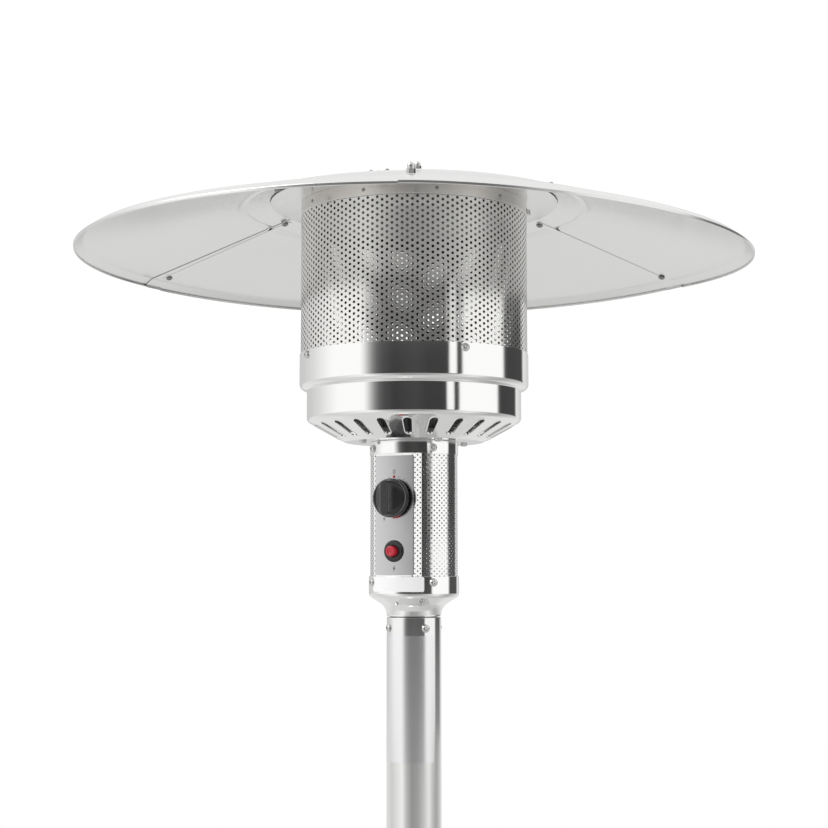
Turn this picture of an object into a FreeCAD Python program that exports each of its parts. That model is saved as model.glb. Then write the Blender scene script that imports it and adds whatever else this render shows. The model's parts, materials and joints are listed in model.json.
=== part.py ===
import FreeCAD, Part
import math
import os
import Sketcher
from FreeCAD import Placement, Rotation, Vector

# Gas patio heater, free standing, in millimetres.
# The frame has +Z up, the control panel faces -Y, and the origin is the centre of the base on the ground.
# Angles are in degrees, counted from +X towards +Y.

SIZES = {
    # Clearances
    "seat_gap": 0.3,
    "slip_gap": 0.2,
    "running_gap": 0.1,
    "hole_gap": 0.3,
    # Base: a ballast plate inside a spun pan
    "pan_radius": 235.0,
    "pan_high": 46.0,
    "pan_wall": 1.2,
    "pan_round": 14.0,
    "pan_lift": 1.0,
    "ballast_thick": 10.0,
    "ballast_chamfer": 2.0,
    # Post supports: three bent flat bars and the socket that they carry
    "support_high": 640.0,
    "support_radius": 172.0,
    "support_thick": 4.0,
    "support_wide": 30.0,
    "support_foot_reach": 46.0,
    "support_shoulder": 560.0,
    "support_top_radius": 66.0,
    "support_tip_radius": 38.0,
    "support_bend": 8.0,
    "support_shoulder_bend": 30.0,
    "support_turn": 30.0,
    "socket_radius": 62.0,
    "socket_plate": 5.0,
    "socket_high": 75.0,
    "socket_wall": 2.5,
    "bolt_radius": 4.0,
    "bolt_head_radius": 7.5,
    "bolt_head_high": 5.5,
    # Post
    "post_radius": 32.6,
    "post_wall": 1.5,
    "post_length": 978.0,
    # Small pan-head screws
    "screw_radius": 2.0,
    "screw_head_radius": 4.9,
    "screw_head_high": 2.9,
    "screw_head_crown": 2.6,
    "screw_reach": 4.0,
    "screw_turn": 52.5,
    "screw_count": 4,
    "post_screw_drop": 12.4,
    # Tank housing
    "housing_radius": 183.0,
    "housing_wall": 1.0,
    "housing_high": 740.0,
    "housing_lid_skirt": 26.0,
    "housing_lid_high": 58.0,
    "housing_lid_round": 9.0,
    "housing_lid_neck": 14.0,
    "housing_post_gap": 0.8,
    "vent_wide": 8.0,
    "vent_high": 56.0,
    "vent_corner": 3.9,
    "vent_level": 40.0,
    "vent_count": 12,
    # Gas cylinder
    "cylinder_radius": 154.0,
    "cylinder_lift": 26.0,
    "cylinder_high": 346.0,
    "cylinder_wall": 2.5,
    "cylinder_bottom_round": 58.0,
    "cylinder_top_round": 68.0,
    "foot_ring_radius": 92.0,
    "foot_ring_wall": 3.0,
    "collar_radius": 84.0,
    "collar_wall": 3.0,
    "collar_high": 96.0,
    "collar_window_high": 80.0,
    "collar_window_half": 48.0,
    "collar_corner": 12.0,
    "collar_grip_level": 63.0,
    "collar_grip_wide": 76.0,
    "collar_grip_high": 29.0,
    "valve_boss_radius": 17.0,
    "valve_boss_high": 16.0,
    "valve_high": 44.0,
    "valve_outlet_level": 30.0,
    "valve_outlet_radius": 12.0,
    "valve_outlet_reach": 42.0,
    "handwheel_radius": 27.0,
    "handwheel_thick": 11.0,
    "handwheel_lobes": 8,
    "handwheel_lobe_radius": 5.0,
    "spindle_radius": 4.0,
    "spindle_high": 10.0,
    "regulator_radius": 33.0,
    "regulator_thick": 26.0,
    "regulator_nut_radius": 19.0,
    "regulator_nut_long": 46.0,
    "regulator_neck_radius": 9.0,
    "regulator_dome_radius": 20.5,
    "regulator_dome_high": 8.0,
    "regulator_tail_radius": 6.0,
    "regulator_tail_long": 12.0,
    # Wheels
    "wheel_radius": 50.0,
    "tyre_thick": 9.0,
    "wheel_wide": 22.0,
    "wheel_lift": 6.0,
    "wheel_spokes": 6,
    "spoke_margin": 3.0,
    "spoke_gap_inner": 5.0,
    "spoke_gap_outer": 14.0,
    "spoke_gap_corner": 2.0,
    "wheel_web": 5.0,
    "wheel_rim_thick": 5.0,
    "wheel_rim_wide": 17.6,
    "tyre_tread_wide": 11.0,
    "wheel_hub_radius": 13.0,
    "axle_radius": 5.0,
    "axle_cap_radius": 9.0,
    "axle_cap_high": 7.0,
    "axle_cap_taper": 1.8,
    "axle_cap_wall": 1.0,
    "ear_place": 50.0,
    "ear_thick": 3.0,
    "ear_corner": 6.0,
    "ear_tip_drop": 20.0,
    "ear_sink": 1.8,
    "bracket_thick": 3.0,
    "bracket_high": 25.0,
    "bracket_lift": 5.0,
    "bracket_half_angle": 14.0,
    # Control housing
    "cup_radius": 54.1,
    "cup_wall": 1.2,
    "cup_neck_corner": 11.2,
    "cup_neck_bend": 15.8,
    "cup_shoulder": 25.1,
    "cup_shoulder_bend": 3.5,
    "cup_high": 48.6,
    "cup_screw_level": 41.7,
    "spigot_long": 34.0,
    "cover_radius": 52.3,
    "cover_wall": 0.8,
    "cover_show": 144.4,
    "cover_overlap": 12.0,
    "facet_half_angle": 37.3,
    "window_wide": 42.0,
    "window_margin": 8.0,
    "window_corner": 3.0,
    "ring_radius": 53.3,
    "ring_wall": 0.8,
    "ring_high": 15.6,
    "ring_bore": 20.0,
    "ring_screw_level": 6.6,
    "ledge_thick": 1.2,
    # Control panel, knob and igniter
    "panel_wide": 50.4,
    "panel_high": 140.9,
    "panel_thick": 1.2,
    "panel_lift": 1.3,
    "panel_shift": 4.2,
    "panel_corner": 1.5,
    "knob_level": 91.8,
    "knob_radius": 22.7,
    "knob_skirt": 5.0,
    "knob_rim": 2.0,
    "knob_standoff": 5.0,
    "knob_grip_wide": 12.0,
    "knob_grip_high": 15.0,
    "knob_grip_long": 40.0,
    "knob_grip_corner": 4.0,
    "knob_grip_sink": 0.5,
    "knob_bore_depth": 12.0,
    "stem_radius": 4.0,
    "stem_tail": 14.0,
    "plunger_radius": 5.9,
    "plunger_long": 6.0,
    "plunger_start": 4.0,
    "boss_radius": 9.0,
    "boss_proud": 0.5,
    "boss_bore_depth": 20.0,
    "valve_wide": 36.0,
    "valve_tall": 48.0,
    "valve_deep": 44.0,
    "valve_set_back": 6.0,
    "valve_corner": 4.0,
    "igniter_level": 29.6,
    "bezel_radius": 12.9,
    "bezel_high": 2.6,
    "bezel_lip": 1.2,
    "barrel_radius": 9.0,
    "barrel_long": 20.0,
    "button_radius": 6.2,
    "button_proud": 10.2,
    "button_tail": 12.0,
    "button_round": 1.6,
    "nut_across": 25.0,
    "nut_thick": 4.0,
    "piezo_radius": 9.0,
    "piezo_long": 37.0,
    "piezo_step": 2.0,
    "piezo_taper": 11.0,
    # Gas way inside the head
    "pipe_radius": 4.0,
    "pipe_bore": 3.0,
    "pipe_long": 190.0,
    "pipe_place": 9.8,
    "pipe_nut_radius": 8.0,
    "pipe_nut_long": 14.0,
    "pipe_union_radius": 6.4,
    "hose_way_radius": 16.0,
    "jet_radius": 5.0,
    "jet_hex_radius": 7.0,
    "jet_hex_high": 6.0,
    "jet_high": 17.0,
    "jet_bore": 0.8,
    "switch_wide": 14.0,
    "switch_deep": 16.0,
    "switch_high": 20.0,
    "switch_corner": 2.0,
    # Burner bowl
    "bowl_radius": 138.2,
    "bowl_lower_radius": 129.3,
    "bowl_floor_radius": 83.4,
    "bowl_wall": 1.0,
    "bowl_high": 105.1,
    "bowl_cone_high": 25.2,
    "bowl_cone_round": 6.0,
    "bowl_step_level": 61.5,
    "bowl_shoulder_level": 64.5,
    "bowl_shoulder_round": 8.0,
    "bowl_bore": 19.0,
    "louvre_count": 24,
    "louvre_inner": 91.3,
    "louvre_outer": 120.2,
    "louvre_wide_inner": 6.0,
    "louvre_wide_outer": 9.0,
    "louvre_turn": 8.75,
    "louvre_rounding": 0.9,
    "band_screw_drop": 5.6,
    "floor_screw_radius": 67.0,
    # Burner
    "tray_radius": 79.0,
    "tray_thick": 1.5,
    "tube_radius": 12.0,
    "tube_wall": 1.0,
    "tube_drop": 31.0,
    "tube_rise": 42.0,
    "air_slot_wide": 8.0,
    "air_slot_high": 12.0,
    "air_slot_corner": 2.0,
    "burner_neck": 14.0,
    "burner_radius": 56.0,
    "burner_belly": 30.0,
    "burner_side": 62.0,
    "burner_high": 72.0,
    "burner_wall": 1.2,
    "port_radius": 2.5,
    "port_count": 20,
    "port_level": 46.0,
    "pilot_place": 68.0,
    "pilot_radius": 4.0,
    "pilot_high": 76.0,
    "pilot_foot_radius": 8.0,
    "pilot_foot_high": 3.0,
    "pilot_hood_radius": 6.0,
    "pilot_hood_high": 12.0,
    "thermocouple_radius": 2.5,
    "thermocouple_high": 84.0,
    "electrode_radius": 3.6,
    "electrode_high": 60.0,
    "electrode_wire_radius": 1.0,
    "electrode_wire_high": 22.0,
    "pilot_turn": 20.0,
    "pilot_spacing": 17.0,
    # Emitter
    "screen_radius": 137.0,
    "screen_wall": 0.8,
    "screen_show": 168.5,
    "screen_tuck": 14.0,
    "neck_radius": 135.9,
    "neck_wall": 1.0,
    "neck_show": 17.6,
    "neck_tuck": 15.0,
    "lid_radius": 174.5,
    "lid_thick": 1.2,
    "lid_skirt": 14.0,
    "lid_skirt_wall": 1.0,
    "rivet_radius": 1.6,
    "rivet_head_radius": 3.0,
    "rivet_head_high": 1.3,
    "rivet_shoulder_radius": 2.4,
    "rivet_shoulder_high": 0.8,
    "rivet_crown_radius": 1.0,
    "rivet_tail": 1.2,
    "rivet_count": 10,
    "rivet_turn": 308.5,
    "rivet_drop": 8.8,
    # Reflector
    "reflector_radius": 406.4,
    "reflector_rim_wide": 10.9,
    "reflector_slope": 15.1,
    "reflector_rim_drop": 14.3,
    "reflector_sheet": 0.8,
    "reflector_inner_radius": 40.0,
    "reflector_flat_radius": 172.0,
    "bead_radius": 209.0,
    "bead_half": 6.0,
    "bead_high": 1.6,
    "seam_turn": 297.5,
    "lap_half_angle": 2.2,
    "riser_angle": 0.15,
    "seam_gap_angle": 0.1,
    "seam_inner_bolt": 188.0,
    "seam_outer_inset": 15.9,
    "seam_screw_radius": 2.4,
    "seam_screw_head_radius": 4.4,
    "seam_screw_head_high": 2.4,
    "seam_screw_crown": 2.6,
    "nut_radius": 4.8,
    "nut_high": 5.0,
    "nut_dome_radius": 3.9,
    "nut_total_high": 11.5,
    "nut_crown_radius": 1.8,
    "cap_radius": 153.0,
    "cap_sheet": 1.0,
    "stud_place": 143.0,
    "stud_turn": 16.0,
    "stud_radius": 3.0,
    "stud_high": 11.0,
    "stud_head_radius": 6.0,
    "stud_head_high": 3.5,
    "wing_hub_radius": 6.0,
    "wing_hub_high": 5.0,
    "wing_hub_crown": 4.8,
    "wing_half_span": 12.5,
    "wing_thick": 2.2,
    "wing_root": 1.0,
    "wing_root_level": 1.0,
    "wing_elbow": 8.0,
    "wing_elbow_level": 2.0,
    "wing_tip_inner": 8.6,
    "wing_tip_level": 5.0,
    "wing_tip_corner": 1.2,
    "wing_high": 7.2,
}

COUNTS = 3
FULL_TURN = 360.0
# How far past a wall or a plate a hole is cut, in times its radius or thickness
PAST_WALL = 1.2
PAST_PLATE = 6

doc = FreeCAD.newDocument("GasPatioHeater")
sheet = doc.addObject("Spreadsheet::Sheet", "Sizes")
for row, (alias, number) in enumerate(SIZES.items(), start=1):
    sheet.set(f"A{row}", alias)
    sheet.set(f"B{row}", str(number))
    sheet.setAlias(f"B{row}", alias)
doc.recompute()


class Size:
    """A length or an angle together with the sheet formula that gives it."""

    def __init__(self, number, formula):
        self.number = float(number)
        self.formula = formula

    def __add__(self, other):
        return combine(self, "+", other, lambda a, b: a + b)

    def __radd__(self, other):
        return combine(other, "+", self, lambda a, b: a + b)

    def __sub__(self, other):
        return combine(self, "-", other, lambda a, b: a - b)

    def __rsub__(self, other):
        return combine(other, "-", self, lambda a, b: a - b)

    def __mul__(self, other):
        return combine(self, "*", other, lambda a, b: a * b)

    def __rmul__(self, other):
        return combine(other, "*", self, lambda a, b: a * b)

    def __truediv__(self, other):
        return combine(self, "/", other, lambda a, b: a / b)

    def __rtruediv__(self, other):
        return combine(other, "/", self, lambda a, b: a / b)

    def __neg__(self):
        return 0 - self


def size(value):
    """A Size from a Size or a plain number."""
    if isinstance(value, Size):
        return value
    return Size(value, f"{float(value):.6f}".rstrip("0").rstrip("."))


def combine(left, sign, right, work):
    a, b = size(left), size(right)
    return Size(work(a.number, b.number), f"({a.formula} {sign} {b.formula})")


def cos(angle):
    return Size(math.cos(math.radians(angle.number)), f"cos({angle.formula})")


def sin(angle):
    return Size(math.sin(math.radians(angle.number)), f"sin({angle.formula})")


def tan(angle):
    return Size(math.tan(math.radians(angle.number)), f"tan({angle.formula})")


def root(square):
    return Size(math.sqrt(square.number), f"sqrt({square.formula})")


class Sheet:
    """Reads sizes by name: S.post_radius is the cell with that alias."""

    def __getattr__(self, alias):
        return Size(SIZES[alias], f"Sizes.{alias}")


S = Sheet()
CENTRE = size(0)
UPRIGHT = (Vector(0, 0, 1), CENTRE)
TO_FRONT = (Vector(1, 0, 0), size(90))
TO_SIDE = (Vector(0, 1, 0), size(90))
parts = []


def new_body(name, x=CENTRE, y=CENTRE, z=CENTRE, facing=UPRIGHT, loose=False):
    """A body whose own origin is at x, y, z; loose allows a set of separate pieces."""
    body = doc.addObject("PartDesign::Body", name)
    body.Label = name
    body.AllowCompound = loose
    axis, angle = facing
    body.Placement = Placement(Vector(x.number, y.number, z.number), Rotation(axis, angle.number))
    for letter, value in zip("xyz", (x, y, z)):
        body.setExpression(f"Placement.Base.{letter}", value.formula)
    if angle.number:
        body.setExpression("Placement.Rotation.Angle", angle.formula)
    parts.append(body)
    return body


def origin(body, role):
    return next(item for item in body.Origin.OriginFeatures if item.Role == role)


def new_sketch(body, name, role, lift=CENTRE, turn=None):
    """A sketch on one of the body's own planes, lifted off it, or turned about the upright axis."""
    sketch = body.newObject("Sketcher::SketchObject", name)
    sketch.AttachmentSupport = (origin(body, role), [""])
    sketch.MapMode = "FlatFace"
    spin, aside, ahead = Rotation(), CENTRE, lift
    if turn:
        spin = Rotation(Vector(0, 1, 0), turn.number)
        aside, ahead = lift * sin(turn), lift * cos(turn)
    sketch.AttachmentOffset = Placement(Vector(aside.number, 0, ahead.number), spin)
    sketch.setExpression("AttachmentOffset.Base.x", aside.formula)
    sketch.setExpression("AttachmentOffset.Base.z", ahead.formula)
    if turn:
        sketch.setExpression("AttachmentOffset.Rotation.Angle", turn.formula)
    return sketch


def tie(sketch, kind, geometry, point, value):
    """Ties one coordinate of a point to its formula."""
    if value.number == 0 and "Sizes" not in value.formula:
        axis = -2 if kind == "DistanceX" else -1
        sketch.addConstraint(Sketcher.Constraint("PointOnObject", geometry, point, axis))
        return
    index = sketch.addConstraint(Sketcher.Constraint(kind, -1, 1, geometry, point, value.number))
    sketch.setExpression(f"Constraints[{index}]", value.formula)


def tie_point(sketch, geometry, point, x, y):
    tie(sketch, "DistanceX", geometry, point, x)
    tie(sketch, "DistanceY", geometry, point, y)


def draw_outline(sketch, corners):
    """A closed outline through corners (x, y) or (x, y, radius) with tangent arcs."""
    corners = [tuple(size(item) for item in corner) for corner in corners]
    spots = [Vector(corner[0].number, corner[1].number, 0) for corner in corners]
    arcs, starts, ends = {}, [], []
    for index, corner in enumerate(corners):
        here = spots[index]
        starts.append(here)
        ends.append(here)
        if len(corner) == 3:
            back = (spots[index - 1] - here).normalize()
            ahead = (spots[(index + 1) % len(spots)] - here).normalize()
            half = back.getAngle(ahead) / 2
            radius = corner[2].number
            starts[index] = here + back * (radius / math.tan(half))
            ends[index] = here + ahead * (radius / math.tan(half))
            middle = here + (back + ahead).normalize() * (radius / math.sin(half))
            arcs[index] = (middle, radius, back.cross(ahead).z < 0)
    lines = []
    for index in range(len(corners)):
        following = (index + 1) % len(corners)
        lines.append(sketch.addGeometry(Part.LineSegment(ends[index], starts[following])))
    for index, corner in enumerate(corners):
        before, after = lines[index - 1], lines[index]
        if index not in arcs:
            sketch.addConstraint(Sketcher.Constraint("Coincident", before, 2, after, 1))
            tie_point(sketch, after, 1, corner[0], corner[1])
            continue
        middle, radius, leftward = arcs[index]
        first, last = (starts[index], ends[index]) if leftward else (ends[index], starts[index])
        angles = [math.atan2(spot.y - middle.y, spot.x - middle.x) for spot in (first, last)]
        circle = Part.Circle(middle, Vector(0, 0, 1), radius)
        arc = sketch.addGeometry(Part.ArcOfCircle(circle, angles[0], angles[1]))
        near, far = (1, 2) if leftward else (2, 1)
        sketch.addConstraint(Sketcher.Constraint("Tangent", before, 2, arc, near))
        sketch.addConstraint(Sketcher.Constraint("Tangent", after, 1, arc, far))
        index_radius = sketch.addConstraint(Sketcher.Constraint("Radius", arc, radius))
        sketch.setExpression(f"Constraints[{index_radius}]", corner[2].formula)
        apex = sketch.addGeometry(Part.Point(spots[index]), True)
        sketch.addConstraint(Sketcher.Constraint("PointOnObject", apex, 1, before))
        sketch.addConstraint(Sketcher.Constraint("PointOnObject", apex, 1, after))
        tie_point(sketch, apex, 1, corner[0], corner[1])
    return sketch


def draw_circle(sketch, x, y, radius):
    spot = Vector(x.number, y.number, 0)
    circle = sketch.addGeometry(Part.Circle(spot, Vector(0, 0, 1), radius.number))
    tie_point(sketch, circle, 3, x, y)
    index = sketch.addConstraint(Sketcher.Constraint("Radius", circle, radius.number))
    sketch.setExpression(f"Constraints[{index}]", radius.formula)
    return sketch


def draw_axis(sketch, start, end):
    """A construction line to turn a profile about."""
    spots = [Vector(x.number, y.number, 0) for x, y in (start, end)]
    line = sketch.addGeometry(Part.LineSegment(*spots), True)
    tie_point(sketch, line, 1, *start)
    tie_point(sketch, line, 2, *end)


def rectangle(x, y, wide, high, corner=None):
    """Corners of a rectangle centred on x, y."""
    edge = () if corner is None else (corner,)
    return [(x + wide / 2 * across, y + high / 2 * along) + edge
            for across, along in ((-1, -1), (1, -1), (1, 1), (-1, 1))]


def sheet_metal(path, thick):
    """Outline of a bent sheet whose outer face follows the path; the sheet lies to the path's left."""
    path = [tuple(size(item) for item in corner) for corner in path]
    normals = []
    for start, end in zip(path, path[1:]):
        run, rise = end[0] - start[0], end[1] - start[1]
        reach = root(run * run + rise * rise)
        normals.append((-rise / reach, run / reach))
    inner = []
    for index, corner in enumerate(path):
        before = normals[max(index - 1, 0)]
        after = normals[min(index, len(normals) - 1)]
        share = thick / (1 + before[0] * after[0] + before[1] * after[1])
        spot = (corner[0] + (before[0] + after[0]) * share, corner[1] + (before[1] + after[1]) * share)
        if abs(corner[0].number) < 1e-9:
            spot = (CENTRE, spot[1])
        if len(corner) == 3:
            leftward = before[0].number * after[1].number - before[1].number * after[0].number > 0
            spot += (corner[2] - thick if leftward else corner[2] + thick,)
        inner.append(spot)
    return path + inner[::-1]


def bind(feature, **formulas):
    for name, value in formulas.items():
        feature.setExpression(name, size(value).formula)


def revolve(body, name, sketch, angle=None, axis="V_Axis"):
    feature = body.newObject("PartDesign::Revolution", name)
    feature.Profile = sketch
    feature.ReferenceAxis = (sketch, [axis])
    feature.Angle = angle.number if angle else FULL_TURN
    if angle:
        bind(feature, Angle=angle)
    return feature


def pad(body, name, sketch, length, both_ways=False, backwards=False):
    feature = body.newObject("PartDesign::Pad", name)
    feature.Profile = sketch
    feature.Length = size(length).number
    feature.Midplane = both_ways
    feature.Reversed = backwards
    bind(feature, Length=length)
    return feature


def cut(body, name, kind, sketch, prepare):
    """A Pocket or Groove that has to take material away."""
    doc.recompute()
    whole = body.Shape.Volume
    feature = body.newObject(kind, name)
    feature.Profile = sketch
    prepare(feature)
    doc.recompute()
    if not body.Shape.Volume < whole - 1e-6:
        raise RuntimeError(f"{name} cuts nothing from {body.Label}")
    return feature


def pocket(body, name, sketch, length, both_ways=False, backwards=False):
    def prepare(feature):
        feature.Length = size(length).number
        feature.Midplane = both_ways
        feature.Reversed = backwards
        bind(feature, Length=length)
    return cut(body, name, "PartDesign::Pocket", sketch, prepare)


def repeat(body, name, feature, count):
    """Copies a feature all the way round the body's upright axis."""
    pattern = body.newObject("PartDesign::PolarPattern", name)
    pattern.Originals = [feature]
    pattern.Axis = (origin(body, "Z_Axis"), [""])
    pattern.Angle = FULL_TURN
    pattern.Occurrences = round(count.number)
    bind(pattern, Occurrences=count)
    body.Tip = pattern
    return pattern


def spun(name, corners, **place):
    """A body turned about its own upright axis from half an outline."""
    body = new_body(name, **place)
    sketch = draw_outline(new_sketch(body, f"{name}_outline", "XZ_Plane"), corners)
    revolve(body, f"{name}_spun", sketch)
    return body


def turned(body, name, seat, axis, steps, turn=None):
    """Turns steps (along, out) about an axis that leaves the seat; both lie in one upright plane."""
    across, rise = axis
    corners = [(seat[0] + along * across + out * rise, seat[1] + along * rise - out * across)
               for along, out in ((size(along), size(out)) for along, out in steps)]
    sketch = new_sketch(body, f"{name}_outline", "XZ_Plane", turn=turn)
    draw_axis(sketch, corners[0], corners[-1])
    draw_outline(sketch, corners)
    return revolve(body, name, sketch, axis="Axis0")


def drill_round(body, name, level, radius, reach, count, turn):
    """Holes through an upright wall, all the way round."""
    sketch = new_sketch(body, f"{name}_outline", "YZ_Plane", turn=turn)
    draw_circle(sketch, CENTRE, level, radius)
    hole = pocket(body, f"{name}_first", sketch, reach, backwards=True)
    return repeat(body, name, hole, count)


def drill_down(body, name, place, radius, reach, turn=None, count=None):
    """A hole along the upright axis at a distance from the middle, once or all the way round."""
    sketch = new_sketch(body, f"{name}_outline", "XY_Plane")
    angle = turn or CENTRE
    draw_circle(sketch, place * cos(angle), place * sin(angle), radius)
    hole = pocket(body, f"{name}_first", sketch, reach, both_ways=True)
    return repeat(body, name, hole, count) if count else hole


OUTWARD = (size(1), size(0))
UPWARD = (size(0), size(1))
DOWNWARD = (size(0), size(-1))


def pan_head_screw(head, reach):
    """Steps of a pan-head screw from its tip to the crown of its head."""
    radius, high, crown, shank = head
    return [(-reach, 0), (-reach, shank), (0, shank), (0, radius), (high, crown), (high, 0)]


SMALL_SCREW = (S.screw_head_radius, S.screw_head_high, S.screw_head_crown, S.screw_radius)
BOLT = (S.bolt_head_radius, S.bolt_head_high, S.bolt_head_radius, S.bolt_radius)
screw_angle = S.screw_turn - 90
screw_hole = S.screw_radius + S.hole_gap

# Levels above the ground, from the base to the top
support_top = S.pan_high + S.support_high
post_foot = support_top + S.socket_plate
joint_level = post_foot + S.post_length
cup_top = joint_level + S.cup_high
ring_bottom = cup_top + S.cover_show
bowl_floor = ring_bottom + S.ring_high
band_top = bowl_floor + S.bowl_high
screen_top = band_top + S.screen_show
lid_bottom = screen_top + S.neck_show
lid_top = lid_bottom + S.lid_thick


# Base

def build_base():
    reach = S.pan_radius - S.pan_wall - S.seat_gap
    edge = S.ballast_chamfer
    spun("ballast_plate", [(0, 0), (reach - edge, 0), (reach, edge), (reach, S.ballast_thick - edge),
                           (reach - edge, S.ballast_thick), (0, S.ballast_thick)])
    top, side, bend = S.pan_high, S.pan_radius - S.pan_wall, S.pan_round
    pan = spun("base_pan", [
        (side, S.pan_lift), (S.pan_radius, S.pan_lift), (S.pan_radius, top, bend), (0, top),
        (0, top - S.pan_wall), (S.pan_radius - bend, top - S.pan_wall), (side, top - bend),
    ])
    for body in (pan, doc.getObject("ballast_plate")):
        drill_down(body, f"{body.Label}_bolt_holes", foot_bolt_place, S.bolt_radius + S.hole_gap,
                   S.pan_high * PAST_PLATE, S.support_turn, size(COUNTS))


foot_bolt_place = S.support_radius - S.support_thick - S.support_foot_reach / 2
top_bolt_place = (S.support_tip_radius + S.support_top_radius) / 2


def build_supports():
    for number in range(COUNTS):
        turn = S.support_turn + FULL_TURN / COUNTS * number
        name = f"post_support_{number + 1}"
        body = new_body(name, z=S.pan_high, facing=(Vector(0, 0, 1), turn))
        bar = sheet_metal([
            (S.support_radius - S.support_foot_reach, 0),
            (S.support_radius, 0, S.support_bend + S.support_thick),
            (S.support_radius, S.support_shoulder, S.support_shoulder_bend),
            (S.support_top_radius, S.support_high, S.support_bend), (S.support_tip_radius, S.support_high),
        ], S.support_thick)
        sketch = draw_outline(new_sketch(body, f"{name}_outline", "XZ_Plane"), bar)
        pad(body, f"{name}_bar", sketch, S.support_wide, both_ways=True)
        for spot, place in (("foot", foot_bolt_place), ("top", top_bolt_place)):
            drill_down(body, f"{name}_{spot}_hole", place, S.bolt_radius + S.hole_gap,
                       S.support_high * PAST_PLATE)
    bolts = new_body("support_bolts", facing=(Vector(0, 0, 1), S.support_turn), loose=True)
    foot_reach = S.pan_high + S.support_thick - S.ballast_chamfer
    foot = turned(bolts, "foot_bolt", (foot_bolt_place, S.pan_high + S.support_thick), UPWARD,
                  pan_head_screw(BOLT, foot_reach))
    repeat(bolts, "foot_bolts", foot, size(COUNTS))
    top = turned(bolts, "top_bolt", (top_bolt_place, support_top - S.support_thick), DOWNWARD,
                 pan_head_screw(BOLT, S.support_thick + S.socket_plate + S.bolt_head_high))
    repeat(bolts, "top_bolts", top, size(COUNTS))


# Post and its socket

def build_post():
    inner = S.post_radius + S.seat_gap
    socket = spun("post_socket", [
        (0, 0), (S.socket_radius, 0), (S.socket_radius, S.socket_plate),
        (inner + S.socket_wall, S.socket_plate), (inner + S.socket_wall, S.socket_high),
        (inner, S.socket_high), (inner, S.socket_plate), (0, S.socket_plate),
    ], z=support_top)
    drill_down(socket, "socket_bolt_holes", top_bolt_place, S.bolt_radius + S.hole_gap,
               S.socket_plate * PAST_PLATE, S.support_turn, size(COUNTS))
    drill_down(socket, "hose_way", CENTRE, S.hose_way_radius, S.socket_plate * PAST_PLATE)
    socket_screw_level = S.socket_high - S.screw_head_radius * 2
    drill_round(socket, "socket_screw_holes", socket_screw_level, screw_hole, S.socket_radius,
                S.screw_count, screw_angle)
    post = spun("post", [
        (S.post_radius - S.post_wall, 0), (S.post_radius, 0), (S.post_radius, S.post_length),
        (S.post_radius - S.post_wall, S.post_length),
    ], z=post_foot)
    drill_round(post, "socket_screw_ways", socket_screw_level - S.socket_plate, screw_hole,
                S.socket_radius, S.screw_count, screw_angle)
    drill_round(post, "spigot_screw_ways", S.post_length - S.post_screw_drop, screw_hole,
                S.socket_radius, S.screw_count, screw_angle)
    screws = new_body("socket_screws", z=support_top, loose=True)
    first = turned(screws, "socket_screw", (inner + S.socket_wall, socket_screw_level), OUTWARD,
                   pan_head_screw(SMALL_SCREW, S.screw_reach + S.socket_wall), screw_angle)
    repeat(screws, "socket_screw_ring", first, S.screw_count)


# Tank housing, which lifts up the post

def build_housing():
    shell = spun("housing_shell", [
        (S.housing_radius - S.housing_wall, 0), (S.housing_radius, 0),
        (S.housing_radius, S.housing_high), (S.housing_radius - S.housing_wall, S.housing_high),
    ], z=S.pan_high + S.seat_gap)
    for row, level in (("low", S.vent_level), ("high", S.housing_high - S.vent_level - S.housing_lid_skirt)):
        sketch = new_sketch(shell, f"{row}_vent_outline", "YZ_Plane")
        draw_outline(sketch, rectangle(CENTRE, level, S.vent_wide, S.vent_high, S.vent_corner))
        vent = pocket(shell, f"{row}_vent", sketch, S.housing_radius * PAST_WALL, backwards=True)
        repeat(shell, f"{row}_vents", vent, S.vent_count)
    outer = S.housing_radius + S.slip_gap + S.housing_wall
    neck = S.post_radius + S.housing_post_gap + S.housing_wall
    spun("housing_lid", sheet_metal([
        (outer, 0), (outer, S.housing_lid_skirt, S.housing_lid_round),
        (neck, S.housing_lid_high), (neck, S.housing_lid_high + S.housing_lid_neck),
    ], S.housing_wall), z=housing_lid_level)


housing_top = S.pan_high + S.seat_gap + S.housing_high
housing_lid_level = housing_top - S.housing_lid_skirt + S.housing_lid_round - S.housing_wall


# Gas cylinder with its collar, valve, handwheel and regulator

cylinder_top = S.pan_high + S.cylinder_lift + S.cylinder_high
valve_level = cylinder_top + S.valve_boss_high
handwheel_level = valve_level + S.valve_high + S.spindle_high


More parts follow.
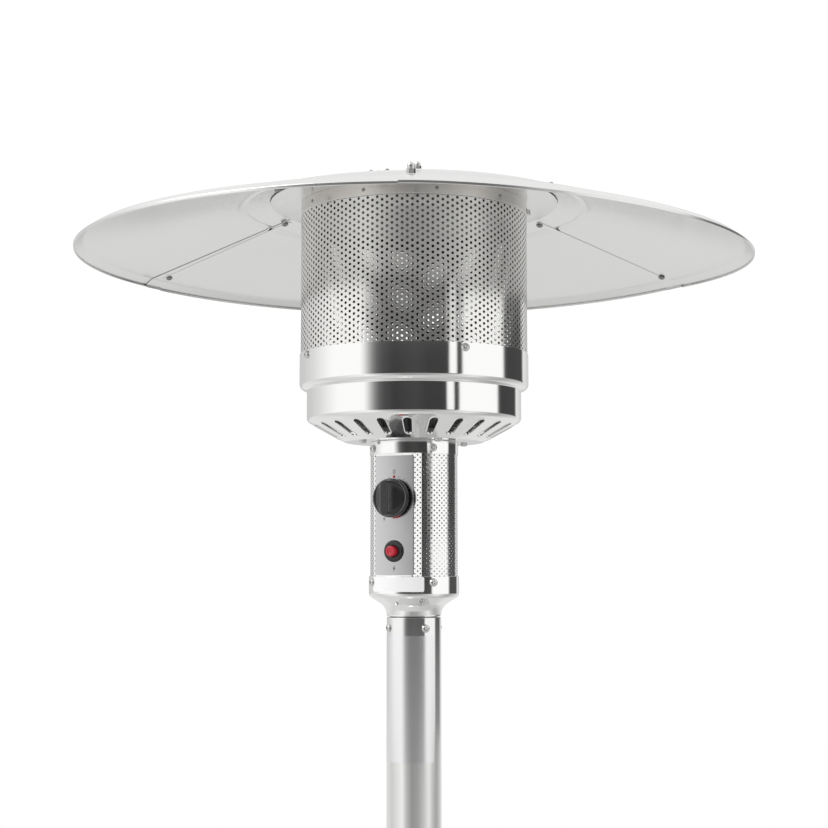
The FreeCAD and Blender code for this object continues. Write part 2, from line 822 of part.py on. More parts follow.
def build_cylinder():
    low, high = S.cylinder_lift, S.cylinder_lift + S.cylinder_high
    wall, mouth = S.cylinder_wall, S.valve_boss_radius
    inside = S.cylinder_radius - wall
    tank = spun("gas_cylinder", [
        (0, low), (S.cylinder_radius, low, S.cylinder_bottom_round),
        (S.cylinder_radius, high, S.cylinder_top_round), (mouth, high), (mouth, high + S.valve_boss_high),
        (mouth - wall, high + S.valve_boss_high), (mouth - wall, high - wall),
        (S.cylinder_radius - S.cylinder_top_round, high - wall), (inside, high - S.cylinder_top_round),
        (inside, low + S.cylinder_bottom_round), (S.cylinder_radius - S.cylinder_bottom_round, low + wall),
        (0, low + wall),
    ], z=S.pan_high)
    foot = new_sketch(tank, "foot_ring_outline", "XZ_Plane")
    draw_outline(foot, [
        (S.foot_ring_radius, 0), (S.foot_ring_radius + S.foot_ring_wall, 0),
        (S.foot_ring_radius + S.foot_ring_wall, S.cylinder_lift + S.cylinder_wall / 2),
        (S.foot_ring_radius, S.cylinder_lift + S.cylinder_wall / 2),
    ])
    revolve(tank, "foot_ring", foot)
    collar = spun("cylinder_collar", [
        (S.collar_radius - S.collar_wall, 0), (S.collar_radius, 0),
        (S.collar_radius, S.collar_high), (S.collar_radius - S.collar_wall, S.collar_high),
    ], z=cylinder_top)
    window = new_sketch(collar, "collar_window_outline", "YZ_Plane")
    draw_outline(window, [
        (-S.collar_window_half, S.collar_high - S.collar_window_high, S.collar_corner),
        (S.collar_window_half, S.collar_high - S.collar_window_high, S.collar_corner),
        (S.collar_window_half, S.collar_high * PAST_WALL), (-S.collar_window_half, S.collar_high * PAST_WALL),
    ])
    pocket(collar, "collar_window", window, S.collar_radius * PAST_WALL, backwards=True)
    for side, sign in (("rear", 1), ("front", -1)):
        grip = new_sketch(collar, f"{side}_grip_outline", "XZ_Plane")
        draw_outline(grip, rectangle(-S.collar_corner, S.collar_grip_level, S.collar_grip_wide,
                                     S.collar_grip_high, S.collar_corner))
        pocket(collar, f"{side}_grip", grip, S.collar_radius * PAST_WALL, backwards=sign < 0)
    bore = S.valve_boss_radius - S.cylinder_wall - S.seat_gap
    valve = spun("cylinder_valve", [
        (0, -S.valve_boss_high), (bore, -S.valve_boss_high), (bore, 0), (S.valve_boss_radius, 0),
        (S.valve_boss_radius, S.valve_high), (0, S.valve_high),
    ], z=valve_level)
    outlet = new_sketch(valve, "outlet_outline", "YZ_Plane")
    draw_circle(outlet, CENTRE, S.valve_outlet_level, S.valve_outlet_radius)
    pad(valve, "outlet", outlet, S.valve_outlet_reach)
    spindle = new_sketch(valve, "spindle_outline", "XY_Plane", lift=S.valve_high - S.spindle_radius)
    draw_circle(spindle, CENTRE, CENTRE, S.spindle_radius)
    pad(valve, "spindle", spindle, S.spindle_radius + S.spindle_high + S.handwheel_thick)
    wheel = spun("valve_handwheel", [
        (S.spindle_radius + S.running_gap, 0), (S.handwheel_radius, 0),
        (S.handwheel_radius, S.handwheel_thick), (S.spindle_radius + S.running_gap, S.handwheel_thick),
    ], z=handwheel_level)
    scallop = new_sketch(wheel, "finger_outline", "XY_Plane")
    draw_circle(scallop, S.handwheel_radius + S.handwheel_lobe_radius / 3, CENTRE, S.handwheel_lobe_radius)
    groove = pocket(wheel, "finger_groove", scallop, S.handwheel_thick * PAST_PLATE, both_ways=True)
    repeat(wheel, "finger_grooves", groove, S.handwheel_lobes)
    build_regulator()


def build_regulator():
    """The regulator hangs on the cylinder valve's outlet; its own axis runs along +X."""
    start = S.valve_outlet_reach
    body = new_body("regulator", x=start, z=valve_level + S.valve_outlet_level, facing=TO_SIDE)
    nut = new_sketch(body, "regulator_profile", "XZ_Plane")
    centre = S.regulator_nut_long + S.regulator_radius
    draw_outline(nut, [
        (0, 0), (S.regulator_nut_radius, 0), (S.regulator_nut_radius, S.regulator_nut_long),
        (S.regulator_neck_radius, S.regulator_nut_long), (S.regulator_neck_radius, centre),
        (0, centre),
    ])
    revolve(body, "regulator_nut", nut)
    case = new_sketch(body, "case_outline", "YZ_Plane", lift=-S.regulator_thick / 2)
    draw_circle(case, CENTRE, centre, S.regulator_radius)
    pad(body, "case", case, S.regulator_thick)
    dome_reach = S.regulator_thick / 2 + S.regulator_dome_high
    dome = new_sketch(body, "dome_outline", "YZ_Plane", lift=-dome_reach)
    draw_circle(dome, CENTRE, centre, S.regulator_dome_radius)
    pad(body, "dome", dome, dome_reach)
    tail = new_sketch(body, "tail_outline", "XY_Plane", lift=centre)
    draw_circle(tail, CENTRE, CENTRE, S.regulator_tail_radius)
    pad(body, "tail", tail, S.regulator_radius + S.regulator_tail_long)


# Wheels at the back, which touch the ground when the heater is tipped back

axle_back = S.pan_radius + S.wheel_radius
axle_level = S.wheel_radius + S.wheel_lift
ear_outside = S.ear_place + S.ear_thick / 2
wheel_start = ear_outside + S.seat_gap * 3
axle_half = wheel_start + S.wheel_wide + S.seat_gap * 2 + S.axle_cap_high


def build_wheels():
    inner = S.pan_radius + S.seat_gap
    outer = inner + S.bracket_thick
    bracket = new_body("wheel_bracket")
    web = new_sketch(bracket, "web_outline", "XZ_Plane", turn=90 - S.bracket_half_angle)
    draw_outline(web, [(inner, S.bracket_lift), (outer, S.bracket_lift),
                       (outer, S.bracket_lift + S.bracket_high), (inner, S.bracket_lift + S.bracket_high)])
    revolve(bracket, "web", web, angle=S.bracket_half_angle * 2)
    start = root(outer * outer - S.ear_place * S.ear_place) - S.ear_sink
    for side, sign in (("left", -1), ("right", 1)):
        ear = new_sketch(bracket, f"{side}_ear_outline", "YZ_Plane", lift=S.ear_place * sign)
        low, high = S.bracket_lift, axle_level + S.axle_radius * 2
        draw_outline(ear, [
            (start, low), (start + S.bracket_high, low, S.ear_corner),
            (axle_back + S.axle_radius * 2, high - S.ear_tip_drop, S.ear_corner),
            (axle_back + S.axle_radius * 2, high, S.ear_corner),
            (axle_back - S.axle_radius * 2, high, S.ear_corner), (start, low + S.bracket_high),
        ])
        pad(bracket, f"{side}_ear", ear, S.ear_thick, both_ways=True)
    bore = new_sketch(bracket, "axle_bore_outline", "YZ_Plane")
    draw_circle(bore, axle_back, axle_level, S.axle_radius + S.slip_gap)
    pocket(bracket, "axle_bore", bore, S.ear_place * PAST_PLATE, both_ways=True)
    axle = new_body("wheel_axle", x=-axle_half, y=axle_back, z=axle_level, facing=TO_SIDE)
    pad(axle, "axle_rod", draw_circle(new_sketch(axle, "axle_outline", "XY_Plane"), CENTRE, CENTRE,
                                      S.axle_radius), axle_half * 2)
    caps = new_body("axle_caps", y=axle_back, z=axle_level, facing=TO_SIDE, loose=True)
    cap_start = wheel_start + S.wheel_wide + S.seat_gap * 2
    cap_in = S.axle_radius + S.slip_gap
    for side, sign in (("left", -1), ("right", 1)):
        sketch = new_sketch(caps, f"{side}_cap_outline", "XZ_Plane")
        draw_outline(sketch, [
            (cap_in, cap_start * sign), (S.axle_cap_radius, cap_start * sign),
            (S.axle_cap_radius - S.axle_cap_taper, (axle_half + S.axle_cap_wall) * sign),
            (0, (axle_half + S.axle_cap_wall) * sign),
            (0, (axle_half + S.slip_gap) * sign), (cap_in, (axle_half + S.slip_gap) * sign),
        ])
        revolve(caps, f"{side}_cap", sketch)
        build_wheel(side, sign)


def build_wheel(side, sign):
    """Spoked wheel and its tyre; the wheel's own upright axis is the axle."""
    middle = (wheel_start + S.wheel_wide / 2) * sign
    place = dict(x=middle, y=axle_back, z=axle_level, facing=TO_SIDE)
    rim = S.wheel_radius - S.tyre_thick
    half, rim_half, web = S.wheel_wide / 2, S.wheel_rim_wide / 2, S.wheel_web / 2
    bore = S.axle_radius + S.running_gap
    wheel = spun(f"wheel_{side}", [
        (bore, -half), (S.wheel_hub_radius, -half), (S.wheel_hub_radius, -web),
        (rim - S.wheel_rim_thick, -web),
        (rim - S.wheel_rim_thick, -rim_half), (rim, -rim_half), (rim, rim_half),
        (rim - S.wheel_rim_thick, rim_half), (rim - S.wheel_rim_thick, web), (S.wheel_hub_radius, web),
        (S.wheel_hub_radius, half), (bore, half),
    ], **place)
    inner, outer = S.wheel_hub_radius + S.spoke_margin, rim - S.wheel_rim_thick - S.spoke_margin
    low, high, corner = S.spoke_gap_inner / 2, S.spoke_gap_outer / 2, S.spoke_gap_corner
    gap = new_sketch(wheel, f"{side}_spoke_gap_outline", "XY_Plane")
    draw_outline(gap, [
        (inner, -low, corner), (outer, -high, corner), (outer, high, corner), (inner, low, corner),
    ])
    window = pocket(wheel, f"{side}_spoke_gap", gap, S.wheel_wide * PAST_PLATE, both_ways=True)
    repeat(wheel, f"{side}_spoke_gaps", window, S.wheel_spokes)
    side_step, tread_half = S.tyre_thick / 2, S.tyre_tread_wide / 2
    spun(f"tyre_{side}", [
        (rim + S.slip_gap, -rim_half), (S.wheel_radius - side_step, -half), (S.wheel_radius, -tread_half),
        (S.wheel_radius, tread_half), (S.wheel_radius - side_step, half), (rim + S.slip_gap, rim_half),
    ], **place)


# Control housing: cup, cover, ring and the front panel with its controls

facet_distance = S.cover_radius * cos(S.facet_half_angle)
panel_front = facet_distance + S.panel_thick
panel_bottom = cup_top + S.panel_lift
knob_height = cup_top + S.knob_level
igniter_height = cup_top + S.igniter_level


def draw_flatted_circle(sketch, radius, distance, front):
    """One side of a circle that a flat chord at -Y cuts: the front sliver, or the rest of it."""
    half = root(radius * radius - distance * distance)
    left, right = Vector(-half.number, -distance.number, 0), Vector(half.number, -distance.number, 0)
    chord = sketch.addGeometry(Part.LineSegment(left, right))
    first, last = (left, right) if front else (right, left)
    angles = [math.atan2(spot.y, spot.x) for spot in (first, last)]
    circle = Part.Circle(Vector(), Vector(0, 0, 1), radius.number)
    arc = sketch.addGeometry(Part.ArcOfCircle(circle, angles[0], angles[1]))
    near, far = (1, 2) if front else (2, 1)
    sketch.addConstraint(Sketcher.Constraint("Coincident", chord, 1, arc, near))
    sketch.addConstraint(Sketcher.Constraint("Coincident", chord, 2, arc, far))
    sketch.addConstraint(Sketcher.Constraint("Coincident", arc, 3, -1, 1))
    tie_point(sketch, chord, 1, -half, -distance)
    tie(sketch, "DistanceY", chord, 2, -distance)
    return sketch


def add_ledge(body, name, radius, level):
    """Closes the gap between a round wall and the flat front of the cover."""
    sketch = new_sketch(body, f"{name}_outline", "XY_Plane", lift=level)
    draw_flatted_circle(sketch, radius, facet_distance, front=True)
    pad(body, name, sketch, S.ledge_thick)


def build_control_housing():
    spigot = S.post_radius - S.post_wall - S.slip_gap
    wall, shoulder = S.cup_wall, S.cup_shoulder
    cup = spun("control_cup", [
        (spigot, -S.spigot_long), (spigot, 0), (S.post_radius, 0),
        (S.post_radius, S.cup_neck_corner, S.cup_neck_bend), (S.cup_radius, shoulder, S.cup_shoulder_bend),
        (S.cup_radius, S.cup_high), (S.cup_radius - wall, S.cup_high), (S.cup_radius - wall, shoulder + wall),
        (S.post_radius - wall, S.cup_neck_corner + wall), (S.post_radius - wall, wall),
        (spigot - wall, wall), (spigot - wall, -S.spigot_long),
    ], z=joint_level)
    add_ledge(cup, "cup_ledge", S.cup_radius - S.cup_wall / 2, S.cup_high - S.ledge_thick)
    drill_round(cup, "spigot_screw_holes", -S.post_screw_drop, screw_hole, S.cup_radius,
                S.screw_count, screw_angle)
    drill_round(cup, "cup_screw_holes", S.cup_screw_level, screw_hole, S.cup_radius * PAST_WALL,
                S.screw_count, screw_angle)
    ring = spun("control_ring", sheet_metal([
        (S.ring_radius, 0), (S.ring_radius, S.ring_high), (S.ring_bore, S.ring_high),
    ], S.ring_wall), z=ring_bottom)
    add_ledge(ring, "ring_ledge", S.ring_radius - S.ring_wall / 2, CENTRE)
    drill_round(ring, "ring_screw_holes", S.ring_screw_level, screw_hole, S.ring_radius * PAST_WALL,
                S.screw_count, screw_angle)
    build_cover()
    screws = new_body("housing_screws", z=joint_level, loose=True)
    rows = (("post", S.post_radius, -S.post_screw_drop), ("cup", S.cup_radius, S.cup_screw_level),
            ("ring", S.ring_radius, S.cup_high + S.cover_show + S.ring_screw_level))
    for row, radius, level in rows:
        first = turned(screws, f"{row}_screw", (radius, level), OUTWARD,
                       pan_head_screw(SMALL_SCREW, S.screw_reach), screw_angle)
        repeat(screws, f"{row}_screw_ring", first, S.screw_count)


def build_cover():
    """Perforated cover: a tube with one flat side that carries the panel."""
    overlap = S.cover_overlap
    high = S.cover_show + overlap * 2
    cover = new_body("control_cover", z=cup_top - overlap)
    section = new_sketch(cover, "cover_section", "XY_Plane")
    draw_flatted_circle(section, S.cover_radius, facet_distance, front=False)
    draw_flatted_circle(section, S.cover_radius - S.cover_wall, facet_distance - S.cover_wall, front=False)
    pad(cover, "cover_tube", section, high)
    window = new_sketch(cover, "window_outline", "XZ_Plane")
    middle = overlap + S.panel_lift + S.panel_high / 2
    draw_outline(window, rectangle(-S.panel_shift, middle, S.window_wide,
                                   S.panel_high - S.window_margin * 2, S.window_corner))
    pocket(cover, "window", window, S.cover_radius * PAST_WALL, backwards=True)
    for row, level in (("low", overlap - S.cup_high + S.cup_screw_level),
                       ("high", overlap + S.cover_show + S.ring_screw_level)):
        drill_round(cover, f"{row}_screw_holes", level, screw_hole, S.cover_radius * PAST_WALL,
                    S.screw_count, screw_angle)


def build_panel():
    panel = new_body("control_panel", x=-S.panel_shift, y=-panel_front, z=panel_bottom, facing=TO_FRONT)
    plate = new_sketch(panel, "plate_outline", "XY_Plane")
    draw_outline(plate, rectangle(CENTRE, S.panel_high / 2, S.panel_wide, S.panel_high, S.panel_corner))
    pad(panel, "plate", plate, S.panel_thick, backwards=True)
    holes = new_sketch(panel, "hole_outline", "XY_Plane")
    draw_circle(holes, CENTRE, S.knob_level - S.panel_lift, S.boss_radius + S.hole_gap)
    draw_circle(holes, CENTRE, S.igniter_level - S.panel_lift, S.barrel_radius + S.hole_gap)
    pocket(panel, "holes", holes, S.panel_thick * PAST_PLATE, both_ways=True)


def build_knob():
    place = dict(x=-S.panel_shift, y=-panel_front, z=knob_height, facing=TO_FRONT)
    bore = S.stem_radius + S.slip_gap
    back, face = S.knob_standoff, S.knob_standoff + S.knob_skirt
    knob = spun("control_knob", [
        (bore, back), (S.knob_radius, back), (S.knob_radius, face - S.knob_rim),
        (S.knob_radius - S.knob_rim, face),
        (bore, face),
    ], **place)
    grip = new_sketch(knob, "grip_outline", "XY_Plane", lift=face - S.knob_grip_sink)
    draw_outline(grip, rectangle(CENTRE, CENTRE, S.knob_grip_wide, S.knob_grip_long, S.knob_grip_corner))
    pad(knob, "grip", grip, S.knob_grip_high)
    bore_sketch = new_sketch(knob, "stem_bore_outline", "XY_Plane", lift=back)
    draw_circle(bore_sketch, CENTRE, CENTRE, bore)
    pocket(knob, "stem_bore", bore_sketch, S.knob_bore_depth, backwards=True)
    stem = new_body("valve_stem", **place)
    rod = new_sketch(stem, "stem_outline", "XY_Plane", lift=-S.stem_tail)
    draw_circle(rod, CENTRE, CENTRE, S.stem_radius)
    pad(stem, "stem_rod", rod, S.stem_tail + back + S.knob_bore_depth - S.slip_gap)
    start = S.plunger_start
    spun("valve_plunger", [
        (S.stem_radius + S.running_gap, -start - S.plunger_long), (S.plunger_radius, -start - S.plunger_long),
        (S.plunger_radius, -start), (S.stem_radius + S.running_gap, -start),
    ], **place)


def build_valve():
    place = dict(x=-S.panel_shift, y=-panel_front, z=knob_height, facing=TO_FRONT)
    valve = new_body("gas_valve", **place)
    block = new_sketch(valve, "block_outline", "XY_Plane", lift=-S.valve_set_back)
    draw_outline(block, rectangle(CENTRE, CENTRE, S.valve_wide, S.valve_tall, S.valve_corner))
    pad(valve, "block", block, S.valve_deep, backwards=True)
    boss = new_sketch(valve, "boss_outline", "XY_Plane", lift=S.boss_proud)
    draw_circle(boss, CENTRE, CENTRE, S.boss_radius)
    pad(valve, "boss", boss, S.boss_proud + S.valve_set_back + S.valve_corner, backwards=True)
    bore = new_sketch(valve, "bore_outline", "XY_Plane", lift=S.boss_proud)
    draw_circle(bore, CENTRE, CENTRE, S.plunger_radius + S.running_gap)
    pocket(valve, "bore", bore, S.boss_proud + S.boss_bore_depth)
    block_top = knob_height + S.valve_tall / 2
    block_bottom = knob_height - S.valve_tall / 2
    spun("gas_jet", [
        (S.jet_bore, 0), (S.jet_hex_radius, 0), (S.jet_hex_radius, S.jet_hex_high),
        (S.jet_radius, S.jet_hex_high), (S.jet_radius, S.jet_high - S.jet_radius / 2),
        (S.jet_radius / 2, S.jet_high), (S.jet_bore, S.jet_high),
    ], z=block_top)
    end = S.pipe_long
    spun("supply_pipe", [
        (S.pipe_bore, 0), (S.pipe_bore, -end), (S.pipe_nut_radius, -end),
        (S.pipe_nut_radius, -end + S.pipe_nut_long), (S.pipe_radius, -end + S.pipe_nut_long),
        (S.pipe_radius, -S.pipe_nut_long), (S.pipe_union_radius, -S.pipe_nut_long), (S.pipe_union_radius, 0),
    ], x=S.pipe_place, z=block_bottom)
    switch = new_body("tilt_switch", x=-S.panel_shift - S.valve_wide / 2 + S.switch_wide / 2,
                      y=-panel_front + S.valve_set_back + S.valve_deep - S.switch_deep / 2, z=block_bottom)
    box = new_sketch(switch, "switch_outline", "XY_Plane")
    draw_outline(box, rectangle(CENTRE, CENTRE, S.switch_wide, S.switch_deep, S.switch_corner))
    pad(switch, "switch_case", box, S.switch_high, backwards=True)


def build_igniter():
    place = dict(x=-S.panel_shift, y=-panel_front, z=igniter_height, facing=TO_FRONT)
    bore = S.button_radius + S.seat_gap
    spun("igniter_bezel", [
        (bore, -S.barrel_long), (S.barrel_radius, -S.barrel_long), (S.barrel_radius, 0), (S.bezel_radius, 0),
        (S.bezel_radius, S.bezel_high - S.bezel_lip), (S.bezel_radius - S.bezel_lip, S.bezel_high),
        (bore, S.bezel_high),
    ], **place)
    nut = new_body("igniter_nut", **place)
    hexagon = new_sketch(nut, "hexagon_outline", "XY_Plane", lift=-S.panel_thick)
    reach = S.nut_across / 2 / cos(size(30))
    draw_outline(hexagon, [(reach * cos(size(60 * side)), reach * sin(size(60 * side))) for side in range(6)])
    pad(nut, "hexagon", hexagon, S.nut_thick, backwards=True)
    thread = new_sketch(nut, "thread_outline", "XY_Plane")
    draw_circle(thread, CENTRE, CENTRE, S.barrel_radius + S.slip_gap)
    pocket(nut, "thread", thread, S.nut_thick * PAST_PLATE, both_ways=True)
    spun("igniter_body", [
        (0, -S.barrel_long - S.piezo_long), (S.piezo_radius - S.piezo_step, -S.barrel_long - S.piezo_long),
        (S.piezo_radius, -S.barrel_long - S.piezo_long + S.piezo_taper), (S.piezo_radius, -S.barrel_long),
        (0, -S.barrel_long),
    ], **place)
    spun("igniter_button", [
        (0, -S.button_tail), (S.button_radius, -S.button_tail),
        (S.button_radius, S.button_proud, S.button_round),
        (0, S.button_proud),
    ], **place)


# Burner bowl and burner

tray_level = bowl_floor + S.bowl_wall
pilot_level = tray_level + S.tray_thick


def build_bowl():
    bowl = spun("burner_bowl", sheet_metal([
        (S.bowl_bore, 0), (S.bowl_floor_radius, 0),
        (S.bowl_lower_radius, S.bowl_cone_high, S.bowl_cone_round),
        (S.bowl_lower_radius, S.bowl_step_level),
        (S.bowl_radius, S.bowl_shoulder_level, S.bowl_shoulder_round), (S.bowl_radius, S.bowl_high),
    ], S.bowl_wall), z=bowl_floor)
    slot = new_sketch(bowl, "louvre_outline", "XY_Plane")
    slot.AttachmentOffset = Placement(Vector(), Rotation(Vector(0, 0, 1), S.louvre_turn.number))
    slot.setExpression("AttachmentOffset.Rotation.Angle", S.louvre_turn.formula)
    inner, outer = S.louvre_wide_inner / 2, S.louvre_wide_outer / 2
    small, large = inner * S.louvre_rounding, outer * S.louvre_rounding
    draw_outline(slot, [
        (S.louvre_inner, -inner, small), (S.louvre_outer, -outer, large),
        (S.louvre_outer, outer, large), (S.louvre_inner, inner, small),
    ])
    first = pocket(bowl, "louvre", slot, S.bowl_step_level, backwards=True)
    repeat(bowl, "louvres", first, S.louvre_count)
    drill_round(bowl, "band_screw_holes", S.bowl_high - S.band_screw_drop, screw_hole,
                S.bowl_radius * PAST_WALL, S.screw_count, screw_angle)
    drill_down(bowl, "floor_screw_holes", S.floor_screw_radius, screw_hole, S.bowl_high / 2,
               screw_angle, S.screw_count)
    screws = new_body("bowl_screws", z=bowl_floor, loose=True)
    band = turned(screws, "band_screw", (S.bowl_radius, S.bowl_high - S.band_screw_drop), OUTWARD,
                  pan_head_screw(SMALL_SCREW, S.screw_reach), screw_angle)
    repeat(screws, "band_screw_ring", band, S.screw_count)
    floor = turned(screws, "floor_screw", (S.floor_screw_radius, CENTRE), DOWNWARD,
                   pan_head_screw(SMALL_SCREW, S.screw_reach), screw_angle)
    repeat(screws, "floor_screw_ring", floor, S.screw_count)


def build_burner():
    bore = S.tube_radius - S.tube_wall
    tube = spun("mixing_tube", [
        (bore, -S.tube_drop), (S.tube_radius, -S.tube_drop), (S.tube_radius, 0), (S.tray_radius, 0),
        (S.tray_radius, S.tray_thick), (S.tube_radius, S.tray_thick), (S.tube_radius, S.tube_rise),
        (bore, S.tube_rise),
    ], z=tray_level)
    slot = new_sketch(tube, "air_slot_outline", "YZ_Plane")
    draw_outline(slot, rectangle(CENTRE, -S.tube_drop / 2, S.air_slot_wide, S.air_slot_high,
                                 S.air_slot_corner))
    first = pocket(tube, "air_slot", slot, S.tube_radius * PAST_WALL, backwards=True)
    repeat(tube, "air_slots", first, S.screw_count)
    drill_down(tube, "tray_screw_holes", S.floor_screw_radius, screw_hole, S.tray_thick * PAST_PLATE,
               screw_angle, S.screw_count)
    neck = S.tube_radius + S.slip_gap + S.burner_wall
    head = spun("burner_head", sheet_metal([
        (neck, 0), (neck, S.burner_neck), (S.burner_radius, S.burner_belly),
        (S.burner_radius, S.burner_side), (0, S.burner_high),
    ], S.burner_wall), z=tray_level + S.tube_rise - S.burner_neck)
    drill_round(head, "flame_ports", S.port_level, S.port_radius, S.burner_radius * PAST_WALL,
                S.port_count, CENTRE)
    build_pilot()


def build_pilot():
    """Pilot burner, thermocouple and spark electrode stand side by side on the tray."""
    foot = [(0, 0), (S.pilot_foot_radius, 0), (S.pilot_foot_radius, S.pilot_foot_high)]
    rods = (
        ("pilot_burner", foot + [
            (S.pilot_radius, S.pilot_foot_high), (S.pilot_radius, S.pilot_high - S.pilot_hood_high),
            (S.pilot_hood_radius, S.pilot_high - S.pilot_hood_high), (S.pilot_hood_radius, S.pilot_high),
            (0, S.pilot_high)]),
        ("thermocouple", foot + [
            (S.thermocouple_radius, S.pilot_foot_high), (S.thermocouple_radius, S.thermocouple_high),
            (0, S.thermocouple_high)]),
        ("spark_electrode", foot + [
            (S.electrode_radius, S.pilot_foot_high), (S.electrode_radius, S.electrode_high),
            (S.electrode_wire_radius, S.electrode_high),
            (S.electrode_wire_radius, S.electrode_high + S.electrode_wire_high),
            (0, S.electrode_high + S.electrode_wire_high)]),
    )
    for number, (name, corners) in enumerate(rods):
        angle = S.pilot_turn + S.pilot_spacing * (number - 1)
        spun(name, corners, x=S.pilot_place * cos(angle), y=S.pilot_place * sin(angle), z=pilot_level)


# Emitter

def build_emitter():
    screen = spun("emitter_screen", [
        (S.screen_radius - S.screen_wall, 0), (S.screen_radius, 0),
        (S.screen_radius, S.screen_tuck + S.screen_show), (S.screen_radius - S.screen_wall,
                                                           S.screen_tuck + S.screen_show),
    ], z=band_top - S.screen_tuck)
    drill_round(screen, "screen_screw_holes", S.screen_tuck - S.band_screw_drop, screw_hole,
                S.screen_radius * PAST_WALL, S.screw_count, screw_angle)
    rivet_angle = S.rivet_turn
    hole = S.rivet_radius + S.slip_gap
    foot = -S.neck_show - S.neck_tuck
    neck = spun("neck_band", [
        (S.neck_radius - S.neck_wall, foot), (S.neck_radius, foot),
        (S.neck_radius, 0), (S.neck_radius - S.neck_wall, 0),
    ], z=lid_bottom)
    drill_round(neck, "neck_rivet_holes", -S.rivet_drop, hole, S.neck_radius * PAST_WALL,
                S.rivet_count, rivet_angle)
    skirt = S.neck_radius - S.neck_wall - S.seat_gap
    lid = spun("emitter_lid", [
        (0, 0), (skirt - S.lid_skirt_wall, 0), (skirt - S.lid_skirt_wall, -S.lid_skirt),
        (skirt, -S.lid_skirt), (skirt, 0), (S.lid_radius, 0), (S.lid_radius, S.lid_thick),
        (0, S.lid_thick),
    ], z=lid_bottom)
    drill_round(lid, "lid_rivet_holes", -S.rivet_drop, hole, S.neck_radius * PAST_WALL,
                S.rivet_count, rivet_angle)
    drill_down(lid, "stud_holes", S.stud_place, S.stud_radius + S.hole_gap, S.lid_thick * PAST_PLATE,
               stud_angle, size(COUNTS))
    rivets = new_body("neck_rivets", z=lid_bottom, loose=True)
    reach = S.neck_wall + S.seat_gap + S.lid_skirt_wall + S.rivet_tail
    first = turned(rivets, "neck_rivet", (S.neck_radius, -S.rivet_drop), OUTWARD, [
        (-reach, 0), (-reach, S.rivet_radius), (0, S.rivet_radius), (0, S.rivet_head_radius),
        (S.rivet_shoulder_high, S.rivet_shoulder_radius), (S.rivet_head_high, S.rivet_crown_radius),
        (S.rivet_head_high, 0),
    ], rivet_angle)
    repeat(rivets, "neck_rivet_ring", first, S.rivet_count)


# Reflector: three pressed segments that lap at bolted seams

reflector_level = lid_top + S.seat_gap
stud_angle = S.seam_turn - S.stud_turn
bend_radius = S.reflector_radius - S.reflector_rim_wide
fall = tan(S.reflector_slope)
lap_lift = S.reflector_sheet / cos(S.reflector_slope) + S.slip_gap


def cone_height(radius):
    """Height of the reflector's lower face above the edge of the lid, at a radius."""
    return (S.lid_radius - radius) * fall


def reflector_outline(lift, thick):
    """Half section of the pressed sheet, raised by lift, seen as a sheet of the given upright thickness."""
    flat = cone_height(S.reflector_flat_radius)
    inner, outer = S.bead_radius - S.bead_half, S.bead_radius + S.bead_half
    rim = cone_height(bend_radius)
    lower = [
        (S.reflector_inner_radius, flat), (S.reflector_flat_radius, flat), (inner, cone_height(inner)),
        (S.bead_radius, cone_height(S.bead_radius) + S.bead_high), (outer, cone_height(outer)),
        (bend_radius, rim), (S.reflector_radius, rim - S.reflector_rim_drop),
    ]
    outline = [(radius, level + lift) for radius, level in lower]
    upper = [(radius, level + lift + thick) for radius, level in lower]
    return outline + upper[::-1]


def build_reflector():
    thick = S.reflector_sheet / cos(S.reflector_slope)
    sweep = FULL_TURN / COUNTS
    lap, riser, gap = S.lap_half_angle, S.riser_angle, S.seam_gap_angle
    for number in range(COUNTS):
        name = f"reflector_segment_{number + 1}"
        body = new_body(name, z=reflector_level, facing=(Vector(0, 0, 1), S.seam_turn + sweep * number))
        stages = (
            ("main", lap + gap, sweep - gap, CENTRE, thick),
            ("riser", lap + gap, riser, CENTRE, thick + lap_lift),
            ("lap", -lap, lap * 2 + gap + riser, lap_lift, thick),
        )
        for stage, start, angle, lift, deep in stages:
            sketch = new_sketch(body, f"{name}_{stage}_outline", "XZ_Plane", turn=size(start))
            draw_outline(sketch, reflector_outline(lift, deep))
            revolve(body, f"{name}_{stage}", sketch, angle=size(angle))
    build_reflector_fasteners()


